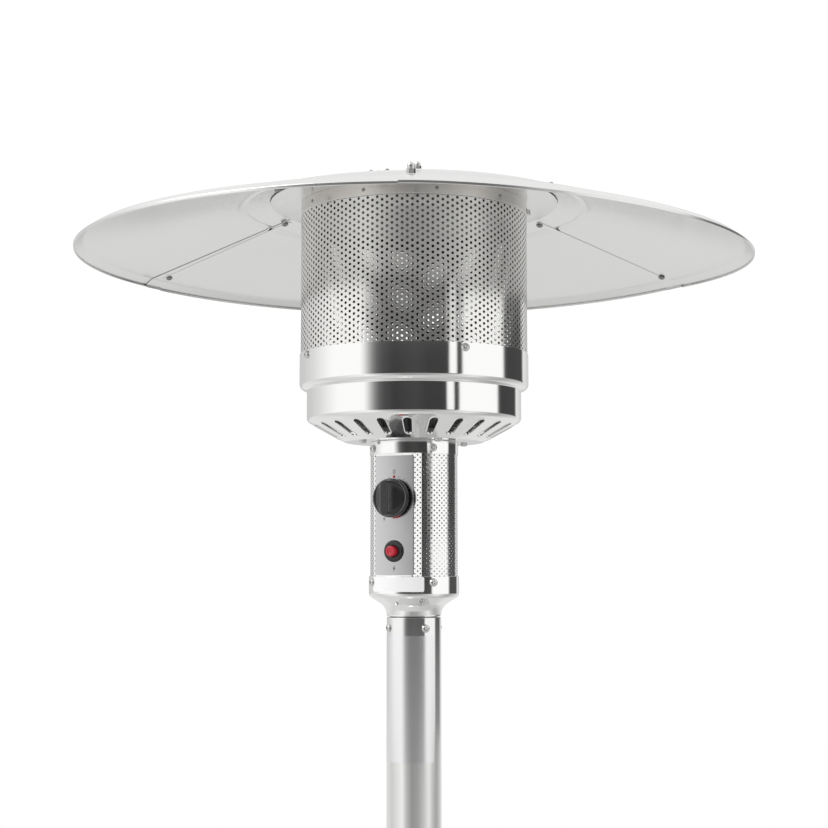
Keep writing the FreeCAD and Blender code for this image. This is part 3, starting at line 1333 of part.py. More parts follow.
def build_reflector_fasteners():
    lean = (sin(S.reflector_slope), cos(S.reflector_slope))
    under = (-lean[0], -lean[1])
    stack = lap_lift + S.reflector_sheet / cos(S.reflector_slope)
    head = (S.seam_screw_head_radius, S.seam_screw_head_high, S.seam_screw_crown, S.seam_screw_radius)
    grip = stack * cos(S.reflector_slope)
    screws = new_body("seam_screws", z=reflector_level, loose=True)
    nuts = new_body("seam_nuts", z=reflector_level, loose=True)
    for spot, radius in (("inner", S.seam_inner_bolt), ("outer", bend_radius - S.seam_outer_inset)):
        seat = (radius, cone_height(radius))
        top = (seat[0] + lean[0] * grip, seat[1] + lean[1] * grip)
        screw = turned(screws, f"{spot}_screw", seat, under, pan_head_screw(head, grip + S.nut_high),
                       S.seam_turn)
        repeat(screws, f"{spot}_screws", screw, size(COUNTS))
        bore = S.seam_screw_radius + S.slip_gap
        nut = turned(nuts, f"{spot}_nut", top, lean, [
            (S.nut_high + S.slip_gap, 0), (S.nut_high + S.slip_gap, bore), (0, bore), (0, S.nut_radius),
            (S.nut_high, S.nut_radius), (S.nut_high, S.nut_dome_radius),
            (S.nut_total_high - S.nut_crown_radius, S.nut_dome_radius),
            (S.nut_total_high, S.nut_crown_radius), (S.nut_total_high, 0),
        ], S.seam_turn)
        repeat(nuts, f"{spot}_nuts", nut, size(COUNTS))
        for number in range(COUNTS):
            body = doc.getObject(f"reflector_segment_{number + 1}")
            for edge, turn in (("lead", CENTRE), ("trail", size(FULL_TURN / COUNTS))):
                drill_down(body, f"{spot}_{edge}_hole_{number}", radius, bore + S.slip_gap,
                           S.reflector_radius, turn)
    cap_lift = lap_lift * 2
    low = cone_height(S.reflector_flat_radius) + cap_lift
    high = low + S.cap_sheet
    cap = spun("reflector_cap", [(0, low), (S.cap_radius, low), (S.cap_radius, high), (0, high)],
               z=reflector_level)
    bore = S.stud_radius + S.hole_gap
    drill_down(cap, "cap_stud_holes", S.stud_place, bore, S.reflector_radius, stud_angle, size(COUNTS))
    for number in range(COUNTS):
        body = doc.getObject(f"reflector_segment_{number + 1}")
        drill_down(body, f"stud_hole_{number}", S.stud_place, bore, S.reflector_radius,
                   FULL_TURN / COUNTS - S.stud_turn)
    studs = new_body("reflector_studs", z=lid_bottom, loose=True)
    head_high = S.stud_head_high
    stud = turned(studs, "reflector_stud", (S.stud_place, CENTRE), UPWARD, [
        (-head_high, 0), (-head_high, S.stud_head_radius), (0, S.stud_head_radius), (0, S.stud_radius),
        (S.stud_high, S.stud_radius), (S.stud_high, 0),
    ], stud_angle)
    repeat(studs, "reflector_stud_ring", stud, size(COUNTS))
    build_wing_nuts(high)


def build_wing_nuts(level):
    nuts = new_body("wing_nuts", z=reflector_level + level + S.slip_gap, loose=True)
    bore = S.stud_radius + S.slip_gap
    hub = new_sketch(nuts, "hub_outline", "XZ_Plane", turn=stud_angle)
    draw_axis(hub, (S.stud_place, CENTRE), (S.stud_place, S.wing_hub_high))
    draw_outline(hub, [
        (S.stud_place + bore, CENTRE), (S.stud_place + S.wing_hub_radius, CENTRE),
        (S.stud_place + S.wing_hub_crown, S.wing_hub_high), (S.stud_place + bore, S.wing_hub_high),
    ])
    first = revolve(nuts, "wing_hub", hub, axis="Axis0")
    repeat(nuts, "wing_hubs", first, size(COUNTS))
    for side, sign in (("left", -1), ("right", 1)):
        wing = new_sketch(nuts, f"{side}_wing_outline", "YZ_Plane", lift=S.stud_place, turn=stud_angle)
        inner, outer = (bore + S.wing_root) * sign, S.wing_half_span * sign
        draw_outline(wing, [
            (inner, S.wing_root_level), (S.wing_elbow * sign, S.wing_elbow_level),
            (outer, S.wing_tip_level, S.wing_tip_corner),
            (S.wing_tip_inner * sign, S.wing_high, S.wing_tip_corner), (inner, S.wing_hub_high),
        ])
        feature = pad(nuts, f"{side}_wing", wing, S.wing_thick, both_ways=True)
        repeat(nuts, f"{side}_wings", feature, size(COUNTS))


build_base()
build_supports()
build_post()
build_housing()
build_cylinder()
build_wheels()
build_control_housing()
build_panel()
build_knob()
build_valve()
build_igniter()
build_bowl()
build_burner()
build_emitter()
build_reflector()
doc.recompute()

for item in doc.Objects:
    if "Invalid" in item.State or "Error" in item.State:
        raise RuntimeError(f"{item.Name} is not sound: {item.State}")
for body in parts:
    if body.Shape.isNull() or not body.Shape.isValid() or not body.Shape.Solids:
        raise RuntimeError(f"{body.Label} has no sound shape")

os.makedirs("parts", exist_ok=True)
for body in parts:
    body.Shape.exportStep(f"parts/{body.Label}.step")
    print(f"{body.Label}: {len(body.Shape.Solids)} solids, {body.Shape.Volume / 1000:.1f} cm3")
print(f"{len(parts)} pieces")
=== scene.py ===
"""A full-size gas patio heater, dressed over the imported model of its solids.

The work is in millimetres from the foot of the post's axis and becomes metres when a piece is done.
Angles are in degrees, anticlockwise from +X as seen from above, unless a name says otherwise.
"""
import json
import logging
import math
from dataclasses import dataclass
from enum import Enum
from typing import Optional, Sequence, Union

import bmesh
import bpy
from mathutils import Matrix, Vector


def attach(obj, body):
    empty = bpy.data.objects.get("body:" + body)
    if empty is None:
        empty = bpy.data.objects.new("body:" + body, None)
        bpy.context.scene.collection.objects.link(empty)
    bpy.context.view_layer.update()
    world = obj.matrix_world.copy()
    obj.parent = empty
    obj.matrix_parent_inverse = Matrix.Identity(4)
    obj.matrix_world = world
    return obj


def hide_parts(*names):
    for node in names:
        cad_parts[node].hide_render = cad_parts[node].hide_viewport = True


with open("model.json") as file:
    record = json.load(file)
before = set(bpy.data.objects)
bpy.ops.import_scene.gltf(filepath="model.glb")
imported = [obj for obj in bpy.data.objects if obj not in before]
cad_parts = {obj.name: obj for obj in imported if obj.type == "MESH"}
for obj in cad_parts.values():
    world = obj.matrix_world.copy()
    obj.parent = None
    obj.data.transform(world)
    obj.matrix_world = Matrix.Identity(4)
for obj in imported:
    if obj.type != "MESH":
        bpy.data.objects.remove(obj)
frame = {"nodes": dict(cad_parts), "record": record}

LOG = logging.getLogger("patio_heater")
METRES = 0.001
FULL = 360.0
UP = Vector((0.0, 0.0, 1.0))
OUT = Vector((1.0, 0.0, 0.0))
# How near to a cut a vertex counts as lying on it
CUT_REACH = 0.0005

# Places that several sub-assemblies share
POST_RADIUS = 32.6
PANEL_MIDDLE = -4.2
PANEL_FRONT = 42.8
KNOB_LEVEL = 1809.4
IGNITER_LEVEL = 1747.2
SCREW_TURN = -37.5

# How fine the textures of metal and paint are, in blotches per metre
METAL_BLOTCHES = 7.0
SHEET_WAVES = 16.0
CAST_GRAINS = 420.0
HEAT_BLOTCHES = 26.0
PAINT_BLOTCHES = 11.0
PAINT_FLOW = 130.0
# How much of the distance from the axis counts as height for lines that run round a cone or disc
CONE_SHARE = 0.83

Colour = tuple[float, float, float]
Corner = tuple[float, ...]
Point = tuple[float, float, float]


# Shader sums


@dataclass(frozen=True)
class Tap:
    """One output of a shader node, on which Python's own operators add Math nodes."""

    tree: bpy.types.NodeTree
    socket: bpy.types.NodeSocket

    def maths(self, operation: str, *values: Union["Tap", float]) -> "Tap":
        """Adds one Math node.

        Args:
            operation: The node's operation.
            values: What goes into its sockets, in order.

        Returns:
            The node's output.
        """
        node = self.tree.nodes.new("ShaderNodeMath")
        node.operation = operation
        for plug, value in zip(node.inputs, values):
            pour(self.tree, plug, value)
        return Tap(self.tree, node.outputs[0])

    def __add__(self, other: Union["Tap", float]) -> "Tap":
        """Sum."""
        return self.maths("ADD", self, other)

    def __radd__(self, other: float) -> "Tap":
        """Sum with a number on the left."""
        return self.maths("ADD", other, self)

    def __sub__(self, other: Union["Tap", float]) -> "Tap":
        """Difference."""
        return self.maths("SUBTRACT", self, other)

    def __rsub__(self, other: float) -> "Tap":
        """Difference from a number."""
        return self.maths("SUBTRACT", other, self)

    def __mul__(self, other: Union["Tap", float]) -> "Tap":
        """Product."""
        return self.maths("MULTIPLY", self, other)

    def __rmul__(self, other: float) -> "Tap":
        """Product with a number on the left."""
        return self.maths("MULTIPLY", other, self)

    def __truediv__(self, other: Union["Tap", float]) -> "Tap":
        """Quotient."""
        return self.maths("DIVIDE", self, other)

    def __rtruediv__(self, other: float) -> "Tap":
        """Quotient with a number above."""
        return self.maths("DIVIDE", other, self)

    def __pow__(self, other: Union["Tap", float]) -> "Tap":
        """Power."""
        return self.maths("POWER", self, other)

    def __rpow__(self, other: float) -> "Tap":
        """Power of a number."""
        return self.maths("POWER", other, self)


def pour(tree: bpy.types.NodeTree, plug: bpy.types.NodeSocket, value: object) -> None:
    """Links a tap to a socket, or sets the socket's own number or colour.

    Args:
        tree: The node tree that both are in.
        plug: The input socket.
        value: A Tap, a number, or a colour or vector.
    """
    if isinstance(value, Tap):
        tree.links.new(value.socket, plug)
    elif plug.type == "RGBA" and len(value) == 3:
        plug.default_value = (*value, 1.0)
    else:
        plug.default_value = value


class Recipe:
    """The node tree of one material or of the world, and the ways to add nodes to it."""

    def __init__(self, tree: bpy.types.NodeTree) -> None:
        """Starts an empty tree."""
        self.tree = tree
        tree.nodes.clear()

    def node(self, kind: str, settings: Optional[dict] = None, sockets: Optional[dict] = None,
             outlet: Union[int, str] = 0) -> Tap:
        """Adds any node that is not a sum.

        Args:
            kind: The node's type.
            settings: Its own properties, set first; "stops" gives a ramp's positions and colours.
            sockets: Values or taps for its inputs, by name or number.
            outlet: The output that is wanted.

        Returns:
            That output.
        """
        node = self.tree.nodes.new(kind)
        for key, value in (settings or {}).items():
            if key == "stops":
                self._set_stops(node.color_ramp, value)
            else:
                setattr(node, key, value)
        for key, value in (sockets or {}).items():
            pour(self.tree, node.inputs[key], value)
        return Tap(self.tree, node.outputs[outlet]) if node.outputs else Tap(self.tree, node.inputs[0])

    def _set_stops(self, ramp: bpy.types.ColorRamp, stops: Sequence[tuple[float, object]]) -> None:
        """Gives a ramp its stops.

        Args:
            ramp: The ramp, with the two stops that it is made with.
            stops: Rising positions, each with a grey level or a colour.
        """
        while len(ramp.elements) < len(stops):
            ramp.elements.new(1.0)
        for element, (place, shade) in zip(ramp.elements, stops):
            element.position = place
            rgb = (shade, shade, shade) if isinstance(shade, float) else shade
            element.color = (*rgb, 1.0)

    def ramp(self, value: Tap, stops: Sequence[tuple[float, object]], smooth: bool = False) -> Tap:
        """Turns a value into a shade by a colour ramp.

        Args:
            value: The value, from 0 to 1.
            stops: Positions with a grey level or a colour.
            smooth: Whether the shades ease into each other.

        Returns:
            The ramp's colour.
        """
        tap = self.node("ShaderNodeValToRGB", {"stops": stops}, {"Fac": value})
        if smooth:
            tap.socket.node.color_ramp.interpolation = "EASE"
        return tap

    def mix(self, factor: Union[Tap, float], first: object, second: object) -> Tap:
        """Mixes two colours.

        Args:
            factor: The share of the second.
            first: A tap or a colour.
            second: A tap or a colour.

        Returns:
            The mixed colour.
        """
        return self.node("ShaderNodeMix", {"data_type": "RGBA"}, {0: factor, 6: first, 7: second}, 2)

    def noise(self, where: Tap, scale: float, detail: float = 2.0, roughness: float = 0.5) -> Tap:
        """Adds a noise texture.

        Args:
            where: Coordinates.
            scale: Blotches per metre, about.
            detail: Octaves.
            roughness: How strong the finer octaves are.

        Returns:
            A value from 0 to 1.
        """
        return self.node("ShaderNodeTexNoise", None,
                         {"Vector": where, "Scale": scale, "Detail": detail, "Roughness": roughness}, "Fac")

    def place(self) -> Tap:
        """The point on the piece in metres, in the heater's own frame."""
        return self.node("ShaderNodeTexCoord", None, None, "Object")

    def axes(self, place: Tap) -> tuple[Tap, ...]:
        """The X, Y and Z of a point or direction."""
        parts = self.node("ShaderNodeSeparateXYZ", None, {0: place}).socket.node
        return tuple(Tap(self.tree, outlet) for outlet in parts.outputs)

    def bump(self, height: Tap) -> Tap:
        """The normal of a surface with a height in millimetres."""
        return self.node("ShaderNodeBump", None,
                         {"Strength": 1.0, "Distance": METRES, "Height": height}, "Normal")

    def stretched(self, scale: Point, spread: bool = False) -> Tap:
        """Object coordinates that are stretched, for lines of brushing or rolling.

        Args:
            scale: Factors along X, Y and Z.
            spread: Whether distance from the axis adds to Z, so that lines also run round cones.

        Returns:
            The coordinates.
        """
        place = self.place()
        if not spread:
            return self.node("ShaderNodeVectorMath", {"operation": "MULTIPLY"}, {0: place, 1: scale})
        x, y, z = self.axes(place)
        radius = (x * x + y * y) ** 0.5
        return self.node("ShaderNodeCombineXYZ", None,
                         {0: x * scale[0], 1: y * scale[1], 2: (z + radius * CONE_SHARE) * scale[2]})


# Finishes


class Grain(Enum):
    """How the lines of a rolled, brushed or spun surface run."""

    NONE = (1.0, 1.0, 1.0, False)
    ROUND = (3.0, 3.0, 900.0, True)
    UPRIGHT = (900.0, 900.0, 4.0, False)
    ACROSS = (4.0, 900.0, 900.0, False)

    @property
    def scale(self) -> Point:
        """Stretch along X, Y and Z."""
        return self.value[:3]

    @property
    def spread(self) -> bool:
        """Whether the lines go round the post's axis on cones and discs too."""
        return self.value[3]


@dataclass(frozen=True)
class Finish:
    """What the finishes of the heater share: a name, the record's slot, and a material made once."""

    name: str
    slot: str
    colour: Colour

    def material(self) -> bpy.types.Material:
        """The Blender material, made on first use.

        Returns:
            The material.
        """
        made = bpy.data.materials.get(self.name)
        if made is None:
            made = bpy.data.materials.new(self.name)
            made.use_nodes = True
            recipe = Recipe(made.node_tree)
            shader = recipe.node("ShaderNodeBsdfPrincipled", None, self.sockets(recipe))
            recipe.node("ShaderNodeOutputMaterial", None, {"Surface": shader})
        return made

    def sockets(self, recipe: Recipe) -> dict:
        """The values and taps of the surface shader.

        Args:
            recipe: The material's node tree.

        Returns:
            Sockets of Principled BSDF by name.
        """
        raise NotImplementedError


@dataclass(frozen=True)
class Metal(Finish):
    """Bare or plated metal: polished, brushed, rolled or cast."""

    roughness: float = 0.1
    grain: Grain = Grain.NONE
    grain_depth: float = 0.0
    wander: float = 0.0
    soil: float = 0.06
    uneven: float = 0.04
    lean: float = 0.0
    bow: float = 0.0

    def sockets(self, recipe: Recipe) -> dict:
        """Steel whose gloss and tone drift, with lines of grain and the sheet's own slight waves.

        Args:
            recipe: The material's node tree.

        Returns:
            Sockets of Principled BSDF by name.
        """
        place = recipe.place()
        drift = recipe.noise(place, METAL_BLOTCHES, 3.0, 0.6)
        fine = recipe.noise(recipe.stretched(self.grain.scale, self.grain.spread),
                            CAST_GRAINS if self.grain is Grain.NONE else 1.0, 4.0, 0.65)
        dull = tuple(channel * (1.0 - self.soil * 2) for channel in self.colour)
        tone = recipe.mix(drift * 0.5 + fine * 0.5, dull, self.colour)
        rough = self.roughness + (drift - 0.5) * self.uneven + (fine - 0.5) * self.uneven
        wave = recipe.noise(place, SHEET_WAVES, 1.0, 0.4)
        height = fine * self.grain_depth + wave * self.wander
        if self.bow:
            along = recipe.axes(place)[0] / METRES
            height = height - along * self.lean - along * along * self.bow
        return {"Base Color": tone, "Metallic": 1.0, "Roughness": rough, "Normal": recipe.bump(height)}


@dataclass(frozen=True)
class PaintedInnerShade(Metal):
    """Sheet with painted shade inside it, about the post's axis and behind one flat side."""

    # Painted shade: the radius inside which it falls, the flat side in front of which it stops, and its grey
    # level
    skin: float = 100.0
    flat: float = 1000.0
    inside: float = 0.10

    def sockets(self, recipe: Recipe) -> dict:
        """Paints shade on what lies under the sheet's outer skin.

        Args:
            recipe: The material's node tree.

        Returns:
            Sockets of Principled BSDF by name.
        """
        made = super().sockets(recipe)
        # Painted shade: the inner face and hole walls take the grey level inside
        painted_inner_shade = (self.inside, self.inside, self.inside)
        made["Base Color"] = recipe.mix(self.under(recipe), made["Base Color"], painted_inner_shade)
        return made

    def under(self, recipe: Recipe) -> Tap:
        """Where painted shade goes, under the piece's own skin: 1 there, 0 elsewhere.

        Args:
            recipe: The material's node tree.

        Returns:
            The mask.
        """
        x, y, _ = recipe.axes(recipe.place())
        inside = x.maths("LESS_THAN", (x * x + y * y) ** 0.5, self.skin * METRES)
        return inside * y.maths("GREATER_THAN", y, -self.flat * METRES)


@dataclass(frozen=True)
class Heated(PaintedInnerShade):
    """Steel that the burner has tinted, browner towards the hot end."""

    tint: Colour = (0.36, 0.33, 0.29)
    low: float = 2.14
    high: float = 2.18

    def sockets(self, recipe: Recipe) -> dict:
        """Adds straw-coloured blotches to the metal.

        Args:
            recipe: The material's node tree.

        Returns:
            Sockets of Principled BSDF by name.
        """
        made = super().sockets(recipe)
        place = recipe.place()
        rise = (recipe.axes(place)[2] - self.low) * (1.0 / (self.high - self.low))
        blotch = recipe.noise(place, HEAT_BLOTCHES, 4.0, 0.6)
        share = recipe.ramp(rise * 0.6 + blotch * 0.6, [(0.25, 0.0), (0.85, 1.0)], True)
        outside = 1.0 - self.under(recipe)
        made["Base Color"] = recipe.mix(share * outside, made["Base Color"], self.tint)
        return made


@dataclass(frozen=True)
class Painted(Finish):
    """Enamel, moulded plastic, rubber or glaze: a coloured skin with its own texture."""

    roughness: float = 0.4
    texture: float = 0.0
    texture_scale: float = 900.0
    orange_peel: float = 0.0
    coat: float = 0.0
    fade: float = 0.12
    specular: float = 0.5

    def sockets(self, recipe: Recipe) -> dict:
        """A skin whose tone and gloss drift a little, with a fine texture and the flow of the paint.

        Args:
            recipe: The material's node tree.

        Returns:
            Sockets of Principled BSDF by name.
        """
        place = recipe.place()
        drift = recipe.noise(place, PAINT_BLOTCHES, 4.0, 0.6)
        fine = recipe.noise(place, self.texture_scale, 2.0, 0.5)
        flow = recipe.noise(place, PAINT_FLOW, 1.0, 0.4)
        pale = tuple(min(1.0, channel + (0.35 - channel * 0.35) * self.fade) for channel in self.colour)
        tone = recipe.mix(drift * 0.7 + fine * 0.3, self.colour, pale)
        rough = self.roughness + (drift - 0.5) * 0.1 + (fine - 0.5) * 0.08
        height = fine * self.texture + flow * self.orange_peel
        return {"Base Color": tone, "Roughness": rough, "Normal": recipe.bump(height),
                "Coat Weight": self.coat, "Specular IOR Level": self.specular}


POLISHED = Metal(
    "polished_steel_sheet", "polished_steel", (0.92, 0.92, 0.91), roughness=0.08, grain=Grain.ROUND,
    grain_depth=0.004, wander=0.13, soil=0.03, uneven=0.03)
# Painted shade darkens the cover's inner face and hole walls
COVER = PaintedInnerShade(
    "polished_cover_sheet", "polished_steel", (0.90, 0.90, 0.89), roughness=0.13, grain=Grain.ROUND,
    grain_depth=0.004, wander=0.90, soil=0.03, uneven=0.03, skin=52.1, flat=41.4)
HOUSING = Metal(
    "brushed_housing_sheet", "polished_steel", (0.74, 0.74, 0.73), roughness=0.20, grain=Grain.UPRIGHT,
    grain_depth=0.006, wander=0.10, soil=0.05, uneven=0.05)
POST_STEEL = Metal(
    "polished_post_tube", "polished_steel", (0.88, 0.88, 0.87), roughness=0.11, grain=Grain.UPRIGHT,
    grain_depth=0.004, wander=0.03, soil=0.04)
REFLECTOR = Metal(
    "satin_reflector_sheet", "reflector_sheet", (0.82, 0.82, 0.81), roughness=0.24, grain=Grain.ROUND,
    grain_depth=0.006, wander=0.10, soil=0.04, uneven=0.05)
# Painted shade darkens the screen's inner face and hole walls
EMITTER = PaintedInnerShade(
    "satin_perforated_steel", "emitter_steel", (0.88, 0.87, 0.85), roughness=0.17, grain=Grain.ROUND,
    grain_depth=0.03, wander=0.06, uneven=0.05, skin=136.8)
LID_SHEET = Metal(
    "satin_lid_sheet", "emitter_steel", (0.80, 0.80, 0.79), roughness=0.24, grain=Grain.ROUND,
    grain_depth=0.006, wander=0.06, soil=0.04, uneven=0.05)
# Painted shade darkens the neck's inner face and its part tucked into the screen
NECK = Heated(
    "heat_tinted_steel", "neck_steel", (0.84, 0.82, 0.79), roughness=0.24, grain=Grain.ROUND,
    grain_depth=0.01, wander=0.02, soil=0.10, uneven=0.06, skin=136.5, tint=(0.74, 0.71, 0.67))
PANEL = Metal(
    "brushed_panel_steel", "panel_steel", (0.70, 0.70, 0.70), roughness=0.20, grain=Grain.ACROSS,
    grain_depth=0.012, wander=0.30, soil=0.10, uneven=0.08, lean=0.085, bow=0.0008)
FASTENER = Metal(
    "bright_fastener_steel", "fastener_steel", (0.72, 0.72, 0.71), roughness=0.14, grain_depth=0.003,
    soil=0.08, uneven=0.06)
DULL_FASTENER = Metal(
    "dull_fastener_steel", "fastener_steel", (0.34, 0.34, 0.33), roughness=0.30, grain_depth=0.006,
    soil=0.10, uneven=0.10)
ZINC = Metal(
    "zinc_coated_steel", "galvanised_steel", (0.62, 0.64, 0.66), roughness=0.42, grain_depth=0.01,
    wander=0.04, soil=0.16, uneven=0.14)
CAST = Metal(
    "cast_alloy_skin", "cast_alloy", (0.56, 0.56, 0.57), roughness=0.52, grain_depth=0.06, wander=0.02,
    soil=0.12, uneven=0.08)
BRASS = Metal(
    "turned_brass", "brass", (0.78, 0.58, 0.26), roughness=0.24, grain_depth=0.006, soil=0.12, uneven=0.08)
BLACK_STEEL = Painted(
    "black_enamel", "black_steel", (0.022, 0.022, 0.023), roughness=0.38, texture=0.010,
    texture_scale=1400.0, orange_peel=0.04, coat=0.1)
CYLINDER = Painted(
    "cylinder_enamel", "cylinder_paint", (0.46, 0.48, 0.49), roughness=0.30, texture=0.006,
    texture_scale=1200.0, orange_peel=0.08, coat=0.3)
BLACK_PLASTIC = Painted(
    "black_moulded_plastic", "black_plastic", (0.012, 0.012, 0.013), roughness=0.27, texture=0.008,
    texture_scale=1600.0, orange_peel=0.01, fade=0.04)
RED_PLASTIC = Painted(
    "red_moulded_plastic", "red_plastic", (0.52, 0.003, 0.022), roughness=0.30, texture=0.004,
    texture_scale=1600.0, orange_peel=0.01, coat=0.2, fade=0.05)
CERAMIC = Painted(
    "glazed_white", "white_gloss", (0.80, 0.79, 0.76), roughness=0.20, texture=0.002, orange_peel=0.02,
    coat=0.5, fade=0.05)
# Painted highlight: pale strips on the knob that stand in for highlight lines along its edges
PAINTED_HIGHLIGHT_EDGE = Painted(
    "painted_highlight_grip_edge", "black_plastic", (0.13, 0.13, 0.13), roughness=0.30, texture=0.006,
    texture_scale=1600.0, orange_peel=0.01)
INK = Painted(
    "printed_ink", "black_plastic", (0.10, 0.10, 0.10), roughness=0.5, texture=0.004, texture_scale=1600.0)
LABEL = Painted(
    "bare_white_label", "white_gloss", (0.94, 0.94, 0.94), roughness=0.42, texture=0.003,
    texture_scale=1200.0, orange_peel=0.01, coat=0.1, fade=0.02)
FILM = Metal(
    "pale_film_label", "white_gloss", (0.90, 0.90, 0.91), roughness=0.24, grain_depth=0.003, wander=0.02,
    soil=0.03, uneven=0.03)
RUBBER = Painted(
    "tyre_rubber_skin", "tyre_rubber", (0.026, 0.026, 0.027), roughness=0.72, texture=0.06,
    texture_scale=1100.0)

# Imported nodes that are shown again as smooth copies, and the finish of each
SMOOTHED: dict[str, Finish] = {
    "gas_cylinder": CYLINDER, "cylinder_collar": CYLINDER, "cylinder_valve": BRASS,
    "valve_handwheel": BLACK_PLASTIC, "regulator": CAST, "wheel_left": BLACK_PLASTIC,
    "wheel_right": BLACK_PLASTIC, "axle_caps": BLACK_PLASTIC, "wheel_axle": ZINC,
    "wheel_bracket": BLACK_STEEL, "post_socket": BLACK_STEEL, "post_support_1": BLACK_STEEL,
    "post_support_2": BLACK_STEEL, "post_support_3": BLACK_STEEL, "ballast_plate": BLACK_STEEL,
    "burner_head": ZINC, "mixing_tube": ZINC,
}
BODY_OF: dict[str, str] = {
    name: body for body, names in frame["record"]["behaviour"]["bodies"].items() for name in names
}

# The finish of each of the record's material slots, for nodes that are shown as packed
SLOT_FINISHES: dict[str, Finish] = {
    finish.slot: finish for finish in (
        POLISHED, REFLECTOR, EMITTER, NECK, PANEL, FASTENER, ZINC, CAST, BRASS, BLACK_STEEL,
        CYLINDER, BLACK_PLASTIC, RED_PLASTIC, CERAMIC, RUBBER)
}


# Bench


def picked(made: Sequence[object], kind: type) -> list:
    """The parts of one kind among what an operator made."""
    return [item for item in made if isinstance(item, kind)]


class Blank:
    """A mesh in millimetres that bmesh operators shape, up to a finished piece of the heater."""

    def __init__(self) -> None:
        """Starts with nothing on the bench."""
        self.bm = bmesh.new()

    @property
    def parts(self) -> list:
        """Every vertex, edge and face."""
        return self.bm.verts[:] + self.bm.edges[:] + self.bm.faces[:]

    def draw(self, corners: Sequence[Corner], flat: bool = False, closed: bool = False,
             steps: int = 4) -> "Blank":
        """Draws a line through corners and rounds those that carry a third number.

        Args:
            corners: Radius and height in an upright half section, or X and Y of a flat outline, then a round.
            flat: Whether the line lies in the XY plane.
            closed: Whether the last corner joins the first.
            steps: Segments of each round.

        Returns:
            This blank.
        """
        spots = [self.bm.verts.new((a, b, 0.0) if flat else (a, 0.0, b)) for a, b, *_ in corners]
        for pair in zip(spots, spots[1:] + (spots[:1] if closed else [])):
            self.bm.edges.new(pair)
        for number, corner in enumerate(corners):
            if len(corner) > 2:
                before, here, after = (Vector(corners[place % len(corners)][:2])
                                       for place in (number - 1, number, number + 1))
                turn = (here - before).angle(after - here)
                bmesh.ops.bevel(self.bm, geom=[spots[number]], offset=corner[2] * math.tan(turn / 2),
                                offset_type="OFFSET", affect="VERTICES", segments=steps, profile=0.5,
                                material=-1, clamp_overlap=False)
        return self

    def spin(self, steps: int = 144, sweep: float = FULL, start: float = 0.0, rise: float = 0.0) -> "Blank":
        """Turns what is drawn about the upright axis.

        Args:
            steps: Steps of the turn.
            sweep: The angle turned through.
            start: Where the turn starts.
            rise: How much it climbs from start to end.

        Returns:
            This blank.
        """
        self.turn(start)
        bmesh.ops.spin(self.bm, geom=self.bm.verts[:] + self.bm.edges[:], cent=(0, 0, 0), axis=UP,
                       dvec=(0, 0, rise / steps), angle=math.radians(sweep), steps=steps,
                       use_merge=sweep == FULL, use_duplicate=False)
        return self.weld()

    def lathe(self, corners: Sequence[Corner], wall: float = 0.0, steps: int = 144,
              round_steps: int = 4) -> "Blank":
        """Turns a half section all the way round; a closed section if it has no wall.

        Args:
            corners: The section.
            wall: Thickness that goes inwards from the drawn line, or 0 for a solid of revolution.
            steps: Steps of the turn.
            round_steps: Segments of each round.

        Returns:
            This blank.
        """
        self.draw(corners, closed=not wall, steps=round_steps)
        self.spin(steps)
        return self.thicken(wall) if wall else self

    def weld(self, reach: float = 0.001) -> "Blank":
        """Merges doubles, which also closes poles, and turns the faces outwards.

        Args:
            reach: How near vertices must be to be merged.

        Returns:
            This blank.
        """
        bmesh.ops.remove_doubles(self.bm, verts=self.bm.verts[:], dist=reach)
        bmesh.ops.recalc_face_normals(self.bm, faces=self.bm.faces[:])
        return self

    def face(self, way: Vector, radial: bool = False) -> "Blank":
        """Turns an open sheet so that it faces one way.

        Args:
            way: The direction, or along X the direction away from the axis.
            radial: Whether the way turns with the sheet round the axis.

        Returns:
            This blank.
        """
        self.bm.normal_update()
        total = 0.0
        for face in self.bm.faces:
            middle = face.calc_center_median()
            turned = Matrix.Rotation(math.atan2(middle.y, middle.x), 3, "Z") @ way if radial else way
            total += face.normal.dot(turned) * face.calc_area()
        if total < 0.0:
            bmesh.ops.reverse_faces(self.bm, faces=self.bm.faces[:])
        return self

    def thicken(self, wall: float) -> "Blank":
        """Gives a sheet a wall, away from its outer face."""
        bmesh.ops.solidify(self.bm, geom=self.bm.faces[:], thickness=wall)
        return self

    def fill(self) -> "Blank":
        """Fills flat loops; a loop inside another is a hole.

        Returns:
            This blank.
        """
        bmesh.ops.triangle_fill(self.bm, use_beauty=True, use_dissolve=False, edges=self.bm.edges[:],
                                normal=UP)
        return self

    def plate(self, thick: float) -> "Blank":
        """Fills the drawn loops and raises them to a plate of that thickness."""
        return self.fill().raised(thick)

    def raised(self, thick: float) -> "Blank":
        """Raises flat faces to a thin plate.

        Args:
            thick: The plate's thickness.

        Returns:
            This blank.
        """
        grown = bmesh.ops.extrude_face_region(self.bm, geom=self.bm.faces[:])
        bmesh.ops.translate(self.bm, vec=(0, 0, thick), verts=picked(grown["geom"], bmesh.types.BMVert))
        return self.weld()

    def rectangle(self, x: float, y: float, wide: float, high: float, corner: float = 0.0,
                  steps: int = 4) -> "Blank":
        """Draws a flat rectangle about a middle, with round or sharp corners.

        Args:
            x: Its middle along X.
            y: Its middle along Y.
            wide: Size along X.
            high: Size along Y.
            corner: Radius of its corners, or 0.
            steps: Segments of each corner.

        Returns:
            This blank.
        """
        half, rise = wide / 2, high / 2
        bend = (corner,) if corner else ()
        corners = [(x - half, y - rise, *bend), (x + half, y - rise, *bend), (x + half, y + rise, *bend),
                   (x - half, y + rise, *bend)]
        return self.draw(corners, flat=True, closed=True, steps=steps)

